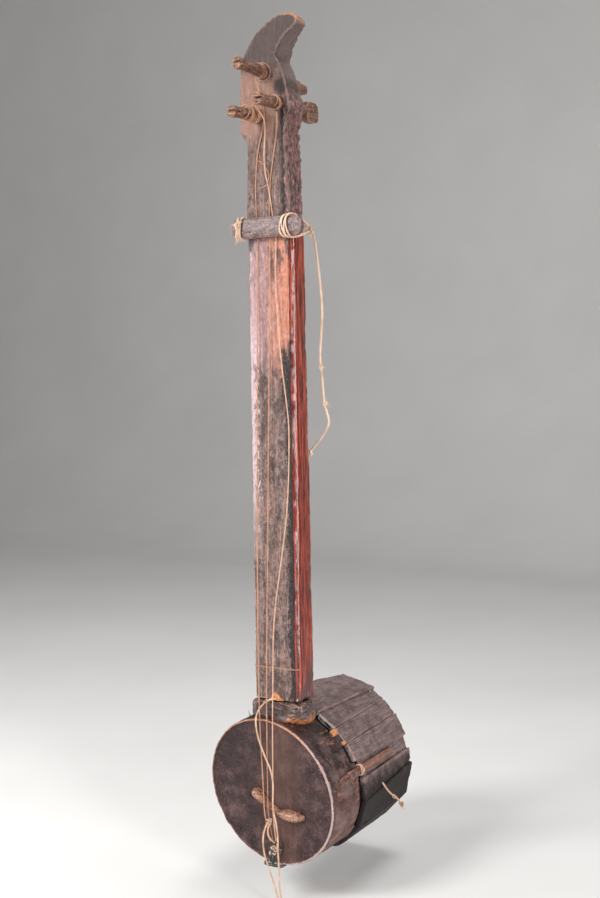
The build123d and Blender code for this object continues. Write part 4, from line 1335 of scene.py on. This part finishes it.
knot_low, knot_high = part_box("tail_knot")
tail_shapes = {"pale": [], "charred": [], "face_cord": []}
kinds = ["charred"] * 9
kinds[2], kinds[4] = "face_cord", "pale"
tail_draw = np.random.default_rng(17)
for number, kind in enumerate(kinds):
    share = (number + 0.5) / len(kinds)
    place = (knot_low.x + (knot_high.x - knot_low.x) * (0.28 + 0.4 * tail_draw.random()),
             knot_low.y + 0.004 + 0.002 * tail_draw.random(),
             knot_high.z - (knot_high.z - knot_low.z) * (0.08 + 0.84 * share))
    size, turn, tall = (tail_draw.uniform(*span) for span in ((0.010, 0.015), (0, 3), (0.8, 1.3)))
    tail_shapes[kind] += twisted(knot_line(place, size, turn, tall), 0.0026, seed=number)
    ends = tail_draw.normal(0, 0.6, 3) * (1, 0.3, 1)
    tail_shapes[kind] += frayed(place, ends, 3, 0.012, 0.0011, 20 + number)
for kind, shapes in tail_shapes.items():
    tied("tail_knot_" + kind, shapes, LUTE, kind, *(["tail_knot"] if kind == "pale" else []))

# ---- Studio ------------------------------------------------------------------------


def area_light(name, place, target, width, height, power):
    """A soft rectangular light that faces a target."""
    data = bpy.data.lights.new(name, "AREA")
    data.shape = "RECTANGLE"
    data.size, data.size_y, data.energy = width, height, power
    light = bpy.data.objects.new(name, data)
    scene.collection.objects.link(light)
    light.location = place
    light.rotation_mode = "QUATERNION"
    light.rotation_quaternion = (Vector(target) - Vector(place)).to_track_quat("-Z", "Y")


area_light("key", (-0.85, -2.0, 0.95), (0.0, 0.0, -0.2), 0.8, 0.8, 66)
area_light("left_strip", (-1.95, -1.15, 0.08), (0.0, 0.0, -0.15), 0.5, 1.1, 32)
area_light("right_strip", (2.05, -1.2, -0.36), (0.0, 0.0, -0.3), 0.46, 1.6, 60)
area_light("top", (0.5, 0.3, 1.6), (0.0, 0.1, -0.7), 0.8, 0.8, 26)

world = bpy.data.worlds.new("studio")
scene.world = world
world.use_nodes = True
background = world.node_tree.nodes["Background"]
background.inputs["Color"].default_value = (0.95, 0.93, 0.94, 1)
background.inputs["Strength"].default_value = 0.30

floor_z = cad_low.z - 0.004
bend, wall_y, half_width = 1.6, 4.4, 7.0
steps = [(-6.0, floor_z), (wall_y - bend, floor_z)]
for turn in np.linspace(0, math.pi / 2, 16)[1:]:
    steps.append((wall_y - bend + bend * math.sin(turn), floor_z + bend * (1 - math.cos(turn))))
steps.append((wall_y, 6.0))
floor_mesh = bpy.data.meshes.new("floor")
floor_mesh.from_pydata([(x, y, z) for y, z in steps for x in (-half_width, half_width)], [],
                       [(2 * i, 2 * i + 1, 2 * i + 3, 2 * i + 2) for i in range(len(steps) - 1)])
floor = object_of("floor", floor_mesh)
floor_look = Look("pale_floor", Roughness=0.9)
cloudy = floor_look.noise(0.4, 1, 3)
floor_colour = floor_look.ramp(cloudy, (0.3, (0.65, 0.64, 0.625)), (0.7, (0.69, 0.68, 0.665)))
floor_mesh.materials.append(floor_look.finish(floor_colour))
floor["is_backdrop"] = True

low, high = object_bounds()
